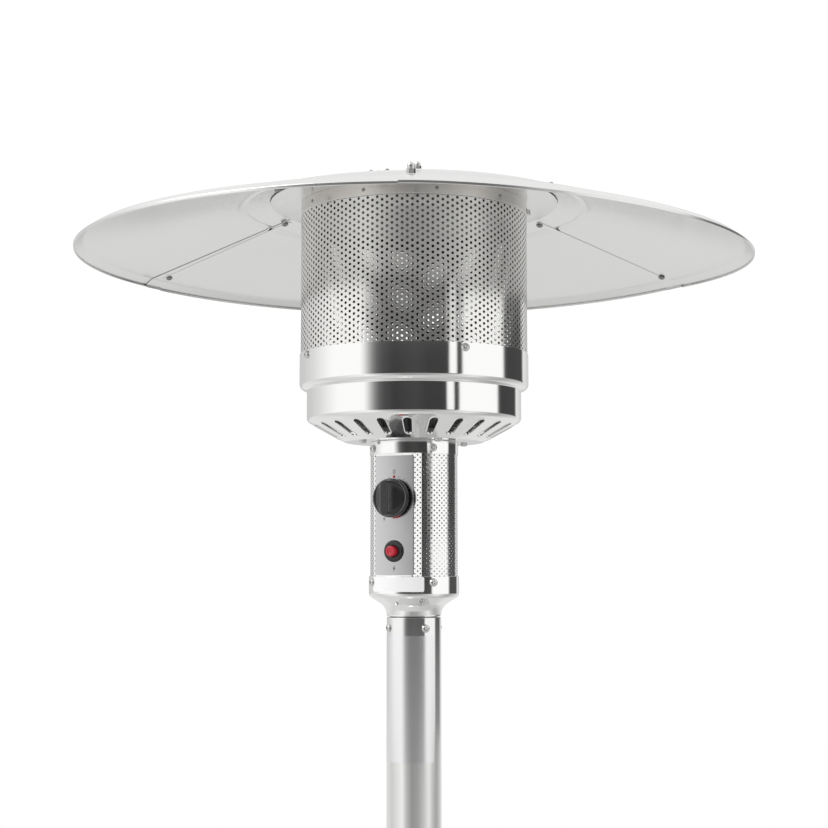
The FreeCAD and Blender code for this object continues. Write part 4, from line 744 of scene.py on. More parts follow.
    def figure(self, text: str, high: float) -> "Blank":
        """Sets a plain figure flat, about the origin.

        Args:
            text: The figure.
            high: Its size.

        Returns:
            This blank.
        """
        curve = bpy.data.curves.new("figure", "FONT")
        curve.body, curve.size, curve.align_x, curve.align_y = text, high, "CENTER", "CENTER"
        holder = bpy.data.objects.new("figure", curve)
        mesh = bpy.data.meshes.new_from_object(holder)
        self.bm.from_mesh(mesh)
        bpy.data.objects.remove(holder)
        bpy.data.meshes.remove(mesh)
        bpy.data.curves.remove(curve)
        return self

    def slices(self, step: float) -> "Blank":
        """Cuts flat faces across X at even steps, so that they can be rolled.

        Args:
            step: Distance between two cuts.

        Returns:
            This blank.
        """
        reach = max(abs(vert.co.x) for vert in self.bm.verts)
        count = math.floor(reach / step)
        for number in range(-count, count + 1):
            bmesh.ops.bisect_plane(self.bm, geom=self.parts, dist=CUT_REACH, plane_co=(number * step, 0, 0),
                                   plane_no=OUT)
        return self

    def roll(self, radius: float) -> "Blank":
        """Rolls a flat sheet round the upright axis, with its Y upwards and its middle on +X.

        Args:
            radius: Radius of the roll.

        Returns:
            This blank.
        """
        for vert in self.bm.verts:
            along, level, _ = vert.co
            vert.co = (radius * math.cos(along / radius), radius * math.sin(along / radius), level)
        return self

    def like(self, node: str) -> "Blank":
        """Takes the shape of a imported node, with its loose triangles joined."""
        self.bm.from_mesh(frame["nodes"][node].data)
        return self.stretch(1.0 / METRES, 1.0 / METRES, 1.0 / METRES).weld(0.002)

    def ease(self, width: float, steps: int = 2, least: float = 30.0) -> "Blank":
        """Bevels every edge that is sharper than an angle.

        Args:
            width: Width of the bevel.
            steps: Its segments.
            least: The smallest angle between faces that counts as an edge.

        Returns:
            This blank.
        """
        self.bm.normal_update()
        edges = [edge for edge in self.bm.edges
                 if edge.is_manifold and edge.calc_face_angle() > math.radians(least)]
        return self.bevel(edges, width, steps)

    def bevel(self, edges: Sequence[bmesh.types.BMEdge], width: float, steps: int) -> "Blank":
        """Bevels some edges to a width, in so many segments.

        Args:
            edges: The edges.
            width: Width of the bevel.
            steps: Its segments.

        Returns:
            This blank.
        """
        bmesh.ops.bevel(self.bm, geom=edges, offset=width, offset_type="OFFSET", affect="EDGES",
                        segments=steps, profile=0.5, material=-1, clamp_overlap=True)
        return self

    def shift(self, x: float = 0.0, y: float = 0.0, z: float = 0.0) -> "Blank":
        """Moves the whole blank."""
        bmesh.ops.translate(self.bm, vec=(x, y, z), verts=self.bm.verts[:])
        return self

    def turn(self, angle: float, axis: str = "Z") -> "Blank":
        """Turns the whole blank about an axis through the origin.

        Args:
            angle: How far.
            axis: X, Y or Z.

        Returns:
            This blank.
        """
        turned = Matrix.Rotation(math.radians(angle), 3, axis)
        bmesh.ops.rotate(self.bm, cent=(0, 0, 0), matrix=turned, verts=self.bm.verts[:])
        return self

    def stretch(self, x: float = 1.0, y: float = 1.0, z: float = 1.0) -> "Blank":
        """Scales the whole blank from the origin."""
        bmesh.ops.scale(self.bm, vec=(x, y, z), verts=self.bm.verts[:])
        return self

    def copy(self, more: int, sweep: float = 0.0, rise: float = 0.0) -> "Blank":
        """Sets more copies beside the first.

        Args:
            more: How many.
            sweep: Angle from the first to the last about the upright axis.
            rise: How much higher each stands than the one before.

        Returns:
            This blank.
        """
        bmesh.ops.spin(self.bm, geom=self.parts, cent=(0, 0, 0), axis=UP, dvec=(0, 0, rise),
                       angle=math.radians(sweep), steps=more, use_merge=False, use_duplicate=True)
        return self

    def repeat(self, count: int) -> "Blank":
        """Sets copies round the upright axis, evenly over a full turn."""
        return self.copy(count - 1, FULL * (count - 1) / count)

    def stack(self, count: int, step: float) -> "Blank":
        """Sets copies above each other."""
        return self.copy(count - 1, rise=step)

    def trim(self, level: float, above: bool) -> "Blank":
        """Cuts off what lies above or below a level.

        Args:
            level: Where the cut goes.
            above: Whether the upper part comes off.

        Returns:
            This blank.
        """
        bmesh.ops.bisect_plane(self.bm, geom=self.parts, dist=CUT_REACH, plane_co=(0, 0, level), plane_no=UP,
                               clear_outer=above, clear_inner=not above)
        return self

    def outwards(self, radius: float, level: float, angle: float) -> "Blank":
        """Turns an upright blank to point away from the axis, and sets it there."""
        return self.turn(90.0, "Y").shift(radius, 0.0, level).turn(angle)

    def frontwards(self, x: float, y: float, z: float) -> "Blank":
        """Turns an upright blank to face the front, with its own Y upwards, and sets it there."""
        return self.turn(90.0, "X").shift(x, y, z)

    def absorb(self, *others: "Blank") -> "Blank":
        """Takes in other blanks, which are used up.

        Args:
            others: The blanks that are taken in.

        Returns:
            This blank.
        """
        for other in others:
            spare = bpy.data.meshes.new("spare")
            other.bm.to_mesh(spare)
            other.bm.free()
            self.bm.from_mesh(spare)
            bpy.data.meshes.remove(spare)
        return self

    def piece(self, name: str, finish: Finish, body: str = "stand", replaces: Sequence[str] = (),
              crease: float = 32.0) -> bpy.types.Object:
        """Makes the blank a piece of the heater.

        Args:
            name: The piece's name.
            finish: What it is made of.
            body: The body that it rides on.
            replaces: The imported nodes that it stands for.
            crease: Edges sharper than this stay sharp.

        Returns:
            The object.
        """
        self.stretch(METRES, METRES, METRES)
        mesh = bpy.data.meshes.new(name)
        self.bm.to_mesh(mesh)
        self.bm.free()
        mesh.shade_smooth()
        mesh.set_sharp_from_angle(angle=math.radians(crease))
        mesh.materials.append(finish.material())
        made = bpy.data.objects.new(name, mesh)
        bpy.context.scene.collection.objects.link(made)
        weigh = made.modifiers.new("even_shading", "WEIGHTED_NORMAL")
        weigh.keep_sharp = True
        weigh.weight = 60
        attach(made, body)
        if replaces:
            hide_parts(*replaces)
        LOG.info("piece %s: %d faces on %s", name, len(mesh.polygons), body)
        return made


@dataclass(frozen=True)
class PanHead:
    """The heater's small cross-recessed screws."""

    radius: float = 4.9
    high: float = 2.9
    crown: float = 2.9
    recess: float = 2.3
    bar: float = 0.55
    deep: float = 1.5

    def blank(self) -> Blank:
        """One screw that stands upright on the XY plane, with a recess that is really cut.

        Returns:
            The screw head.
        """
        made = Blank().draw([(self.radius - 0.3, 0.0), (self.radius, 0.5),
                             (self.radius * 0.86, self.high * 0.72, 1.2),
                             (self.crown, self.high)], steps=3)
        made.spin(24)
        rim = [edge for edge in made.bm.edges if edge.is_boundary
               and min(vert.co.z for vert in edge.verts) > self.high - 0.01]
        base = [edge for edge in made.bm.edges if edge.is_boundary and edge not in rim]
        bmesh.ops.edgeloop_fill(made.bm, edges=base)
        arm, bar = self.recess, self.bar
        loop = [(arm, -bar), (arm, bar), (bar, bar), (bar, arm), (-bar, arm), (-bar, bar), (-arm, bar),
                (-arm, -bar), (-bar, -bar), (-bar, -arm), (bar, -arm), (bar, -bar)]
        spots = [made.bm.verts.new((x, y, self.high + 0.12)) for x, y in loop]
        cross = [made.bm.edges.new(pair) for pair in zip(spots, spots[1:] + spots[:1])]
        halved = bmesh.ops.subdivide_edges(made.bm, edges=cross, cuts=1)
        cross = picked(halved["geom"], bmesh.types.BMEdge)
        bmesh.ops.bridge_loops(made.bm, edges=rim + cross)
        deeper = bmesh.ops.extrude_edge_only(made.bm, edges=cross)["geom"]
        floor = picked(deeper, bmesh.types.BMVert)
        bmesh.ops.translate(made.bm, vec=(0, 0, -self.deep), verts=floor)
        bmesh.ops.scale(made.bm, vec=(0.7, 0.7, 1.0), verts=floor)
        bottom = [edge for edge in picked(deeper, bmesh.types.BMEdge) if edge.is_boundary]
        bmesh.ops.edgeloop_fill(made.bm, edges=bottom)
        return made.weld(0.0001)


@dataclass(frozen=True)
class AcornNut:
    """A hexagon nut with a domed end."""

    across: float = 8.3
    high: float = 5.0
    total: float = 11.5
    dome: float = 3.9

    def blank(self) -> Blank:
        """One nut that stands upright on the XY plane.

        Returns:
            The nut.
        """
        hexagon = Blank()
        bmesh.ops.create_cone(hexagon.bm, cap_ends=True, segments=6, radius1=self.across / math.sqrt(3.0),
                              radius2=self.across / math.sqrt(3.0), depth=self.high)
        hexagon.shift(z=self.high / 2).ease(0.35, 2)
        straight = self.total - self.dome
        dome = Blank().draw([(0.0, self.total), (self.dome * 0.38, self.total - 0.25),
                             (self.dome * 0.71, self.total - self.dome * 0.29),
                             (self.dome * 0.92, self.total - self.dome * 0.61), (self.dome, straight),
                             (self.dome, self.high - 0.5)]).spin(24)
        return hexagon.absorb(dome)


SEAM_SCREW = PanHead(radius=4.4, high=2.4, crown=2.6, recess=2.0, bar=0.5, deep=1.2)
SMALL_NUT = AcornNut(across=7.4, high=3.6, total=8.4, dome=3.2)


# Head: reflector, emitter, bowl


@dataclass(frozen=True)
class Reflector:
    """Three rolled petals that lap at bolted seams, with the small cap and what holds them to the lid."""

    level: float = 2168.1
    slope: float = 15.1
    seat: float = 174.5
    inner: float = 40.0
    flat: float = 172.0
    bead: float = 209.0
    bead_half: float = 6.0
    bead_high: float = 1.6
    flank: float = 300.0
    bend: float = 395.1
    rim: float = 406.35
    plain_inset: float = 2.3
    flank_drop: float = 7.5
    lip: float = 3.2
    fold: float = 1.7
    sheet: float = 0.8
    seams: int = 3
    seam: float = 297.5
    lap: float = 2.2
    climb: float = 1.2
    droops: tuple[float, float, float] = (9.0, 4.0, -0.5)
    # Powers of how the hang grows outwards, and from a seam to the middle of a petal
    droop_outwards: float = 1.3
    droop_along: float = 1.2
    screws: tuple[float, float] = (188.0, 379.6)
    screw_beside: tuple[float, float] = (1.2, -0.45)
    middle_screw: float = 183.0
    strip_wide: float = 8.0
    strip_thick: float = 0.6
    strip_end: float = 7.0
    clear: float = 0.06
    cap: float = 153.0
    cap_thick: float = 1.0
    cap_rise: float = 2.8
    stud_place: float = 143.0
    stud_turn: float = 16.0
    stud_drop: float = 1.5
    stud_outline: tuple[Corner, ...] = (
        (0.0, -3.5), (5.6, -3.5, 0.5), (6.0, -3.0, 0.4), (6.0, 0.0), (3.0, 0.0), (3.0, 10.6), (2.4, 11.0),
        (0.0, 11.0))
    nut_outline: tuple[Corner, ...] = ((2.6, 5.0), (4.4, 5.0, 0.5), (6.0, 1.2, 1.0), (6.0, 0.0), (2.6, 0.0))
    wing_outline: tuple[Corner, ...] = (
        (3.2, 1.0), (8.0, 2.0, 3.0), (12.3, 4.4, 1.5), (11.6, 7.0, 1.3), (8.8, 7.1, 1.3), (6.0, 4.8, 2.0),
        (3.2, 4.8))
    wing_thick: float = 2.2

    def height(self, radius: float) -> float:
        """Level of a petal's lower face at a radius."""
        return self.level + (self.seat - max(radius, self.flat)) * math.tan(math.radians(self.slope))

    def _section(self, folded: bool) -> list[Corner]:
        """Upper face of a petal from the middle to the rim, with the lip folded inwards or left plain.

        Args:
            folded: Whether the lip is folded.

        Returns:
            The half section.
        """
        top = self.sheet / math.cos(math.radians(self.slope))
        start, end = self.bead - self.bead_half, self.bead + self.bead_half
        bend = self.height(self.bend) + top
        brow = bend - self.flank_drop
        line = [(self.inner, self.height(self.inner) + top), (self.flat, self.height(self.flat) + top, 12.0),
                (start, self.height(start) + top, 7.0),
                (self.bead, self.height(self.bead) + top + self.bead_high, 6.0),
                (end, self.height(end) + top, 7.0), (self.flank, self.height(self.flank) + top)]
        low = brow - self.lip
        if not folded:
            edge = self.rim - self.plain_inset
            return line + [(self.bend - 0.2, bend, 6.0), (edge, brow + 1.3, 0.8), (edge - 0.05, low + 0.4)]
        outer, inner = self.rim - 0.25, self.rim - 0.25 - self.fold
        return line + [(self.bend, bend, 6.0), (self.rim, brow, 0.9), (outer, low, 0.75),
                       (inner, low, 0.75), (inner + 0.15, low + 2.0)]

    def _droop(self, blank: Blank, start: float, deep: float) -> Blank:
        """Lets the outer part of a petal hang a little between its seams, as thin sheet does.

        Args:
            blank: The petal.
            start: Angle of its leading seam.
            deep: How far it hangs in the middle.

        Returns:
            The petal.
        """
        span, reach = FULL / self.seams, self.rim - self.bead
        for vert in blank.bm.verts:
            out = (math.hypot(vert.co.x, vert.co.y) - self.bead) / reach
            along = (math.degrees(math.atan2(vert.co.y, vert.co.x)) - start) % FULL / span
            if out > 0.0 and 0.0 < along < 1.0:
                arch = math.sin(math.pi * along) ** self.droop_along
                vert.co.z -= deep * out ** self.droop_outwards * arch
        return blank

    def _petal(self, start: float, deep: float) -> Blank:
        """One petal that climbs over its neighbour's plain edge.

        Args:
            start: Angle of its leading seam.
            deep: How far it hangs in the middle.

        Returns:
            The petal.
        """
        span = FULL / self.seams
        share = span / (span + self.lap * 2)
        main = Blank().draw(self._section(True), steps=5).shift(z=self.climb)
        main.spin(80, span, start - self.lap, -self.climb * share).face(UP)
        tongue = Blank().draw(self._section(False)).shift(z=self.climb * (1.0 - share))
        tongue.spin(4, self.lap * 2, start - self.lap + span, -self.climb * (1.0 - share)).face(UP)
        self._droop(main, start, deep)
        return main.thicken(self.sheet).absorb(tongue.thicken(self.sheet))

    def _slanted(self, blank: Blank, radius: float, above: float, beside: float = 0.0) -> Blank:
        """Sets an upright blank square to the petals' slope at every seam, or at an angle beside it."""
        blank.turn(self.slope, "Y").shift(radius, 0.0, self.height(radius) + above)
        return blank.turn(self.seam + beside).repeat(self.seams)

    def _strips(self) -> Blank:
        """The flat strips that back the seams, under the petals.

        Returns:
            The strips.
        """
        inner, outer = self.screws
        long = (outer - inner) / math.cos(math.radians(self.slope)) + self.strip_end * 2
        strip = Blank().rectangle(0.0, 0.0, long, self.strip_wide, 3.0, 3)
        strip.plate(self.strip_thick).ease(0.12, 1)
        return self._slanted(strip, (inner + outer) / 2, -self.strip_thick - self.clear)

    def _wing_nut(self) -> Blank:
        """One low wing nut that stands upright, its wings along Y.

        Returns:
            The wing nut.
        """
        nut = Blank().lathe(self.nut_outline, steps=28)
        for side in (1.0, -1.0):
            wing = Blank().draw(self.wing_outline, flat=True, closed=True).plate(self.wing_thick)
            wing.shift(z=-self.wing_thick / 2).ease(0.45, 2, 40.0).turn(90.0, "X")
            nut.absorb(wing.turn(90.0 * side))
        return nut

    def build(self) -> None:
        """Makes the petals, strips, cap, screws, nuts, studs and wing nuts."""
        for number, deep in enumerate(self.droops):
            petal = self._petal(self.seam + FULL / self.seams * number, deep)
            petal.piece(f"reflector_petal_{number + 1}", REFLECTOR,
                        replaces=[f"reflector_segment_{number + 1}"], crease=40.0)
        self._strips().piece("seam_strips", REFLECTOR)
        cap_level = self.level + self.cap_rise
        cap = Blank().lathe([(0.0, 0.0), (self.cap, 0.0), (self.cap, self.cap_thick, 0.35),
                             (0.0, self.cap_thick)])
        cap.shift(z=cap_level).piece("reflector_cap_disc", REFLECTOR, replaces=["reflector_cap"])
        heads, nuts = Blank(), Blank()
        grip = self.sheet * 2 + self.climb
        for radius, beside in zip(self.screws, self.screw_beside):
            under = SEAM_SCREW.blank().turn(180.0, "X")
            heads.absorb(self._slanted(under, radius, -self.strip_thick - self.clear, beside))
            nut = AcornNut() if radius > self.bend / 2 else SMALL_NUT
            nuts.absorb(self._slanted(nut.blank(), radius, grip, beside))
        heads.piece("seam_screw_heads", DULL_FASTENER, replaces=["seam_screws"])
        nuts.piece("seam_acorn_nuts", FASTENER, replaces=["seam_nuts"])
        half_petal = FULL / self.seams / 2
        spare = self._slanted(SEAM_SCREW.blank().turn(180.0, "X"), self.middle_screw, 0.5, half_petal)
        spare.absorb(self._slanted(SMALL_NUT.blank(), self.middle_screw, self.sheet + 0.7, half_petal))
        spare.piece("middle_screw_sets", DULL_FASTENER)
        angle = self.seam - self.stud_turn
        studs = Blank().lathe(self.stud_outline, steps=24)
        studs.shift(self.stud_place, 0.0, self.level - self.stud_drop).turn(angle).repeat(self.seams)
        studs.piece("reflector_stud_set", FASTENER, replaces=["reflector_studs"])
        wings = self._wing_nut().shift(self.stud_place, 0.0, cap_level + self.cap_thick + 0.1)
        wings.turn(angle).repeat(self.seams).piece("wing_nut_set", FASTENER, replaces=["wing_nuts"])


@dataclass(frozen=True)
class Perforated:
    """Sheet with round holes in columns, every second column half a pitch higher."""

    radius: float
    hole: float
    column: float
    pitch: float
    wall: float = 0.5

    def cell(self, wide: float) -> Blank:
        """One flat cell with its hole, which faces outwards at the sheet's radius.

        Args:
            wide: Width of the cell.

        Returns:
            The cell, from height 0 up, on the +X side.
        """
        cell = Blank().rectangle(0.0, 0.0, wide, self.pitch)
        bmesh.ops.subdivide_edges(cell.bm, edges=cell.bm.edges[:], cuts=1)
        border = cell.bm.edges[:]
        ring = bmesh.ops.create_circle(cell.bm, cap_ends=False, segments=8, radius=self.hole / 2)
        spots = set(ring["verts"])
        inner = [edge for edge in cell.bm.edges if edge.verts[0] in spots]
        bmesh.ops.bridge_loops(cell.bm, edges=border + inner)
        return cell.turn(90.0, "X").turn(90.0).shift(self.radius, 0.0, self.pitch / 2)

    def pair(self, wide: float, step: float) -> Blank:
        """Two neighbouring cells, the second half a pitch higher.

        Args:
            wide: Width of a cell.
            step: Angle between them about the axis.

        Returns:
            The pair, the first of them on the +X side.
        """
        return self.cell(wide).absorb(self.cell(wide).shift(z=self.pitch / 2).turn(step))

    def drum(self, columns: int, low: float, high: float, start: float = 0.0,
             sweep: float = FULL) -> Blank:
        """A whole or part drum, cut straight at two levels and not yet thick.

        Args:
            columns: Even number of columns.
            low: Lower edge.
            high: Upper edge.
            start: Angle of the first column.
            sweep: Angle that the columns fill.

        Returns:
            The open sheet.
        """
        step = sweep / columns
        wide = 2.0 * self.radius * math.tan(math.radians(step / 2))
        rows = math.ceil((high - low) / self.pitch) + 2
        sheet = self.pair(wide, step).stack(rows, self.pitch).shift(z=low - self.pitch)
        sheet.weld(0.01)
        sheet.copy(columns // 2 - 1, step * (columns - 2)).trim(low, False).trim(high, True)
        return sheet.turn(start).weld(0.02).face(OUT, True)

    def strip(self, columns: int, low: float, high: float, last_raised: bool) -> Blank:
        """A flat strip that faces the front, with its first column at the middle of X.

        Args:
            columns: Number of columns.
            low: Lower edge.
            high: Upper edge.
            last_raised: Whether the last column is half a pitch higher, or else the one before it.

        Returns:
            The open sheet.
        """
        sheet = Blank()
        for number in range(columns):
            raised = (columns - 1 - number) % 2 == (0 if last_raised else 1)
            cell = self.cell(self.column).shift(-self.radius, self.column * number,
                                                self.pitch / 2 if raised else 0.0)
            sheet.absorb(cell)
        rows = math.ceil((high - low) / self.pitch) + 2
        sheet.turn(-90.0).stack(rows, self.pitch).shift(z=low - self.pitch)
        return sheet.weld(0.01).trim(low, False).trim(high, True)


@dataclass(frozen=True)
class Emitter:
    """The perforated screen, the tinted neck band with its rivets, and the lid above it."""

    radius: float = 137.0
    columns: int = 148
    foot: float = 1968.7
    holes_from: float = 1979.0
    top: float = 2151.2
    neck: float = 137.1
    neck_low: float = 2136.2
    neck_wall: float = 1.0
    tuck: float = 135.9
    lid_level: float = 2166.6
    lid: float = 174.5
    lid_thick: float = 1.2
    skirt_deep: float = 14.0
    rivets: int = 10
    rivet_turn: float = 308.5
    rivet_drop: float = 8.0
    rivet_outline: tuple[Corner, ...] = ((2.2, 0.0), (2.1, 0.3, 0.25), (1.5, 0.75, 0.9), (0.0, 0.9))

    def build(self) -> None:
        """Makes the screen, the neck that is swaged to go inside it, the rivets and the lid."""
        sheet = Perforated(self.radius, hole=3.5, column=5.8, pitch=6.8)
        screen = sheet.drum(self.columns, self.holes_from, self.top).thicken(sheet.wall)
        plain = Blank().lathe([(self.radius, 0.0), (self.radius, self.holes_from - self.foot)],
                              sheet.wall, self.columns)
        screen.absorb(plain.shift(z=self.foot))
        screen.piece("emitter_mesh_drum", EMITTER, replaces=["emitter_screen"])
        neck = Blank().lathe([(self.tuck, self.neck_low), (self.tuck, self.top - 0.3, 0.5),
                              (self.neck, self.top + 1.1, 0.5), (self.neck, self.lid_level - 0.1)],
                             self.neck_wall, 180)
        neck.piece("neck_collar", NECK, replaces=["neck_band"])
        rivet = Blank().draw(self.rivet_outline, steps=3).spin(20)
        rivet.outwards(self.neck, self.lid_level - self.rivet_drop, self.rivet_turn).repeat(self.rivets)
        rivet.piece("neck_rivet_heads", DULL_FASTENER, replaces=["neck_rivets"])
        skirt = self.neck - 1.3
        lid = Blank().lathe([(0.0, 0.0), (skirt - 1.0, 0.0, 0.8), (skirt - 1.0, -self.skirt_deep),
                             (skirt, -self.skirt_deep), (skirt, 0.0, 1.0), (self.lid, 0.0, 0.3),
                             (self.lid, self.lid_thick, 0.3), (0.0, self.lid_thick)],
                            steps=180, round_steps=3)
        lid.shift(z=self.lid_level).piece("emitter_top_disc", LID_SHEET, replaces=["emitter_lid"])


@dataclass(frozen=True)
class Bowl:
    """The burner bowl with its stepped wall, its cone of flared louvres and its screws."""

    level: float = 1877.6
    wall: float = 1.0
    bore: float = 19.0
    floor: float = 83.4
    lower: float = 129.3
    upper: float = 138.2
    cone_high: float = 25.2
    step: float = 61.5
    shoulder: float = 64.5
    high: float = 105.1
    louvres: int = 24
    louvre_turn: float = 8.75
    tile_inner: float = 86.0
    tile_outer: float = 123.5
    slot_inner: float = 89.8
    slot_outer: float = 122.2
    slot_narrow: float = 4.7
    slot_broad: float = 6.7
    slot_round: float = 0.9
    # How far each row of a louvre's lip tucks in, and how far it rises
    lip_rows: tuple[tuple[float, float], ...] = (
        (0.45, -0.50), (0.45, -0.35), (0.45, 0.15), (0.25, 0.60), (0.0, 1.6))
    screw_turn: float = SCREW_TURN
    screw_level: float = 1977.1
    floor_screw: float = 67.0

    def _cone(self, radius: float) -> float:
        """Height of the cone's outer face above the bowl's floor."""
        return (radius - self.floor) * self.cone_high / (self.lower - self.floor)

    def _louvre(self) -> Blank:
        """One sector of the cone in plan, with a louvre whose edge rolls into the bowl.

        Returns:
            The open sheet.
        """
        tile = Blank()
        share = (self.tile_outer - self.tile_inner) / 4
        tile.draw([(self.tile_inner + share * step, 0.0) for step in range(5)])
        tile.spin(6, FULL / self.louvres, -FULL / self.louvres / 2)
        bmesh.ops.delete(tile.bm, geom=tile.bm.faces[:], context="FACES_KEEP_BOUNDARY")
        border = set(tile.bm.edges)
        inner, outer, narrow, broad = self.slot_inner, self.slot_outer, self.slot_narrow, self.slot_broad
        tight, wide = narrow * self.slot_round, broad * self.slot_round
        tile.draw([(inner, -narrow, tight), (outer, -broad, wide), (outer, broad, wide),
                   (inner, narrow, tight)], flat=True, closed=True)
        lip = [edge for edge in tile.bm.edges if edge not in border]
        bmesh.ops.bridge_loops(tile.bm, edges=list(border) + lip)
        middle = Matrix.Translation((-(inner + outer) / 2, 0.0, 0.0))
        for tuck, rise in self.lip_rows:
            grown = bmesh.ops.extrude_edge_only(tile.bm, edges=lip)["geom"]
            spots = picked(grown, bmesh.types.BMVert)
            lip = [edge for edge in picked(grown, bmesh.types.BMEdge) if edge.is_boundary]
            bmesh.ops.scale(tile.bm, space=middle, verts=spots,
                            vec=(1.0 - tuck * 2 / (outer - inner), 1.0 - tuck / broad * 1.2, 1.0))
            bmesh.ops.translate(tile.bm, vec=(0, 0, rise), verts=spots)
        return tile

    def _shell(self) -> Blank:
        """The whole bowl: two turned parts with the ring of louvres between them.

        Returns:
            The bowl.
        """
        shell = self._louvre().turn(self.louvre_turn).repeat(self.louvres)
        for vert in shell.bm.verts:
            vert.co.z += self._cone(math.hypot(vert.co.x, vert.co.y))
        start = self.louvre_turn - FULL / self.louvres / 2
        middle = Blank().draw([(self.bore, 0.0), (self.floor, 0.0, 4.0),
                               (self.tile_inner, self._cone(self.tile_inner))]).spin(144, start=start)
        sides = Blank().draw([(self.tile_outer, self._cone(self.tile_outer)),
                              (self.lower, self.cone_high, 6.0), (self.lower, self.step, 1.2),
                              (self.upper, self.shoulder, 6.5), (self.upper, self.high)], steps=6)
        sides.spin(144, start=start)
        shell.absorb(middle, sides).weld(0.02).face(Vector((1.0, 0.0, -1.0)), True)
        return shell.thicken(self.wall).shift(z=self.level)

    def build(self) -> None:
        """Makes the bowl and its eight screws."""
        self._shell().piece("louvred_bowl", POLISHED, replaces=["burner_bowl"], crease=38.0)
        band = PanHead().blank().outwards(self.upper, self.screw_level, self.screw_turn).repeat(4)
        under = PanHead().blank().turn(180.0, "X").shift(self.floor_screw, 0.0, self.level)
        band.absorb(under.turn(self.screw_turn).repeat(4))
        band.piece("bowl_screw_heads", FASTENER, replaces=["bowl_screws"])


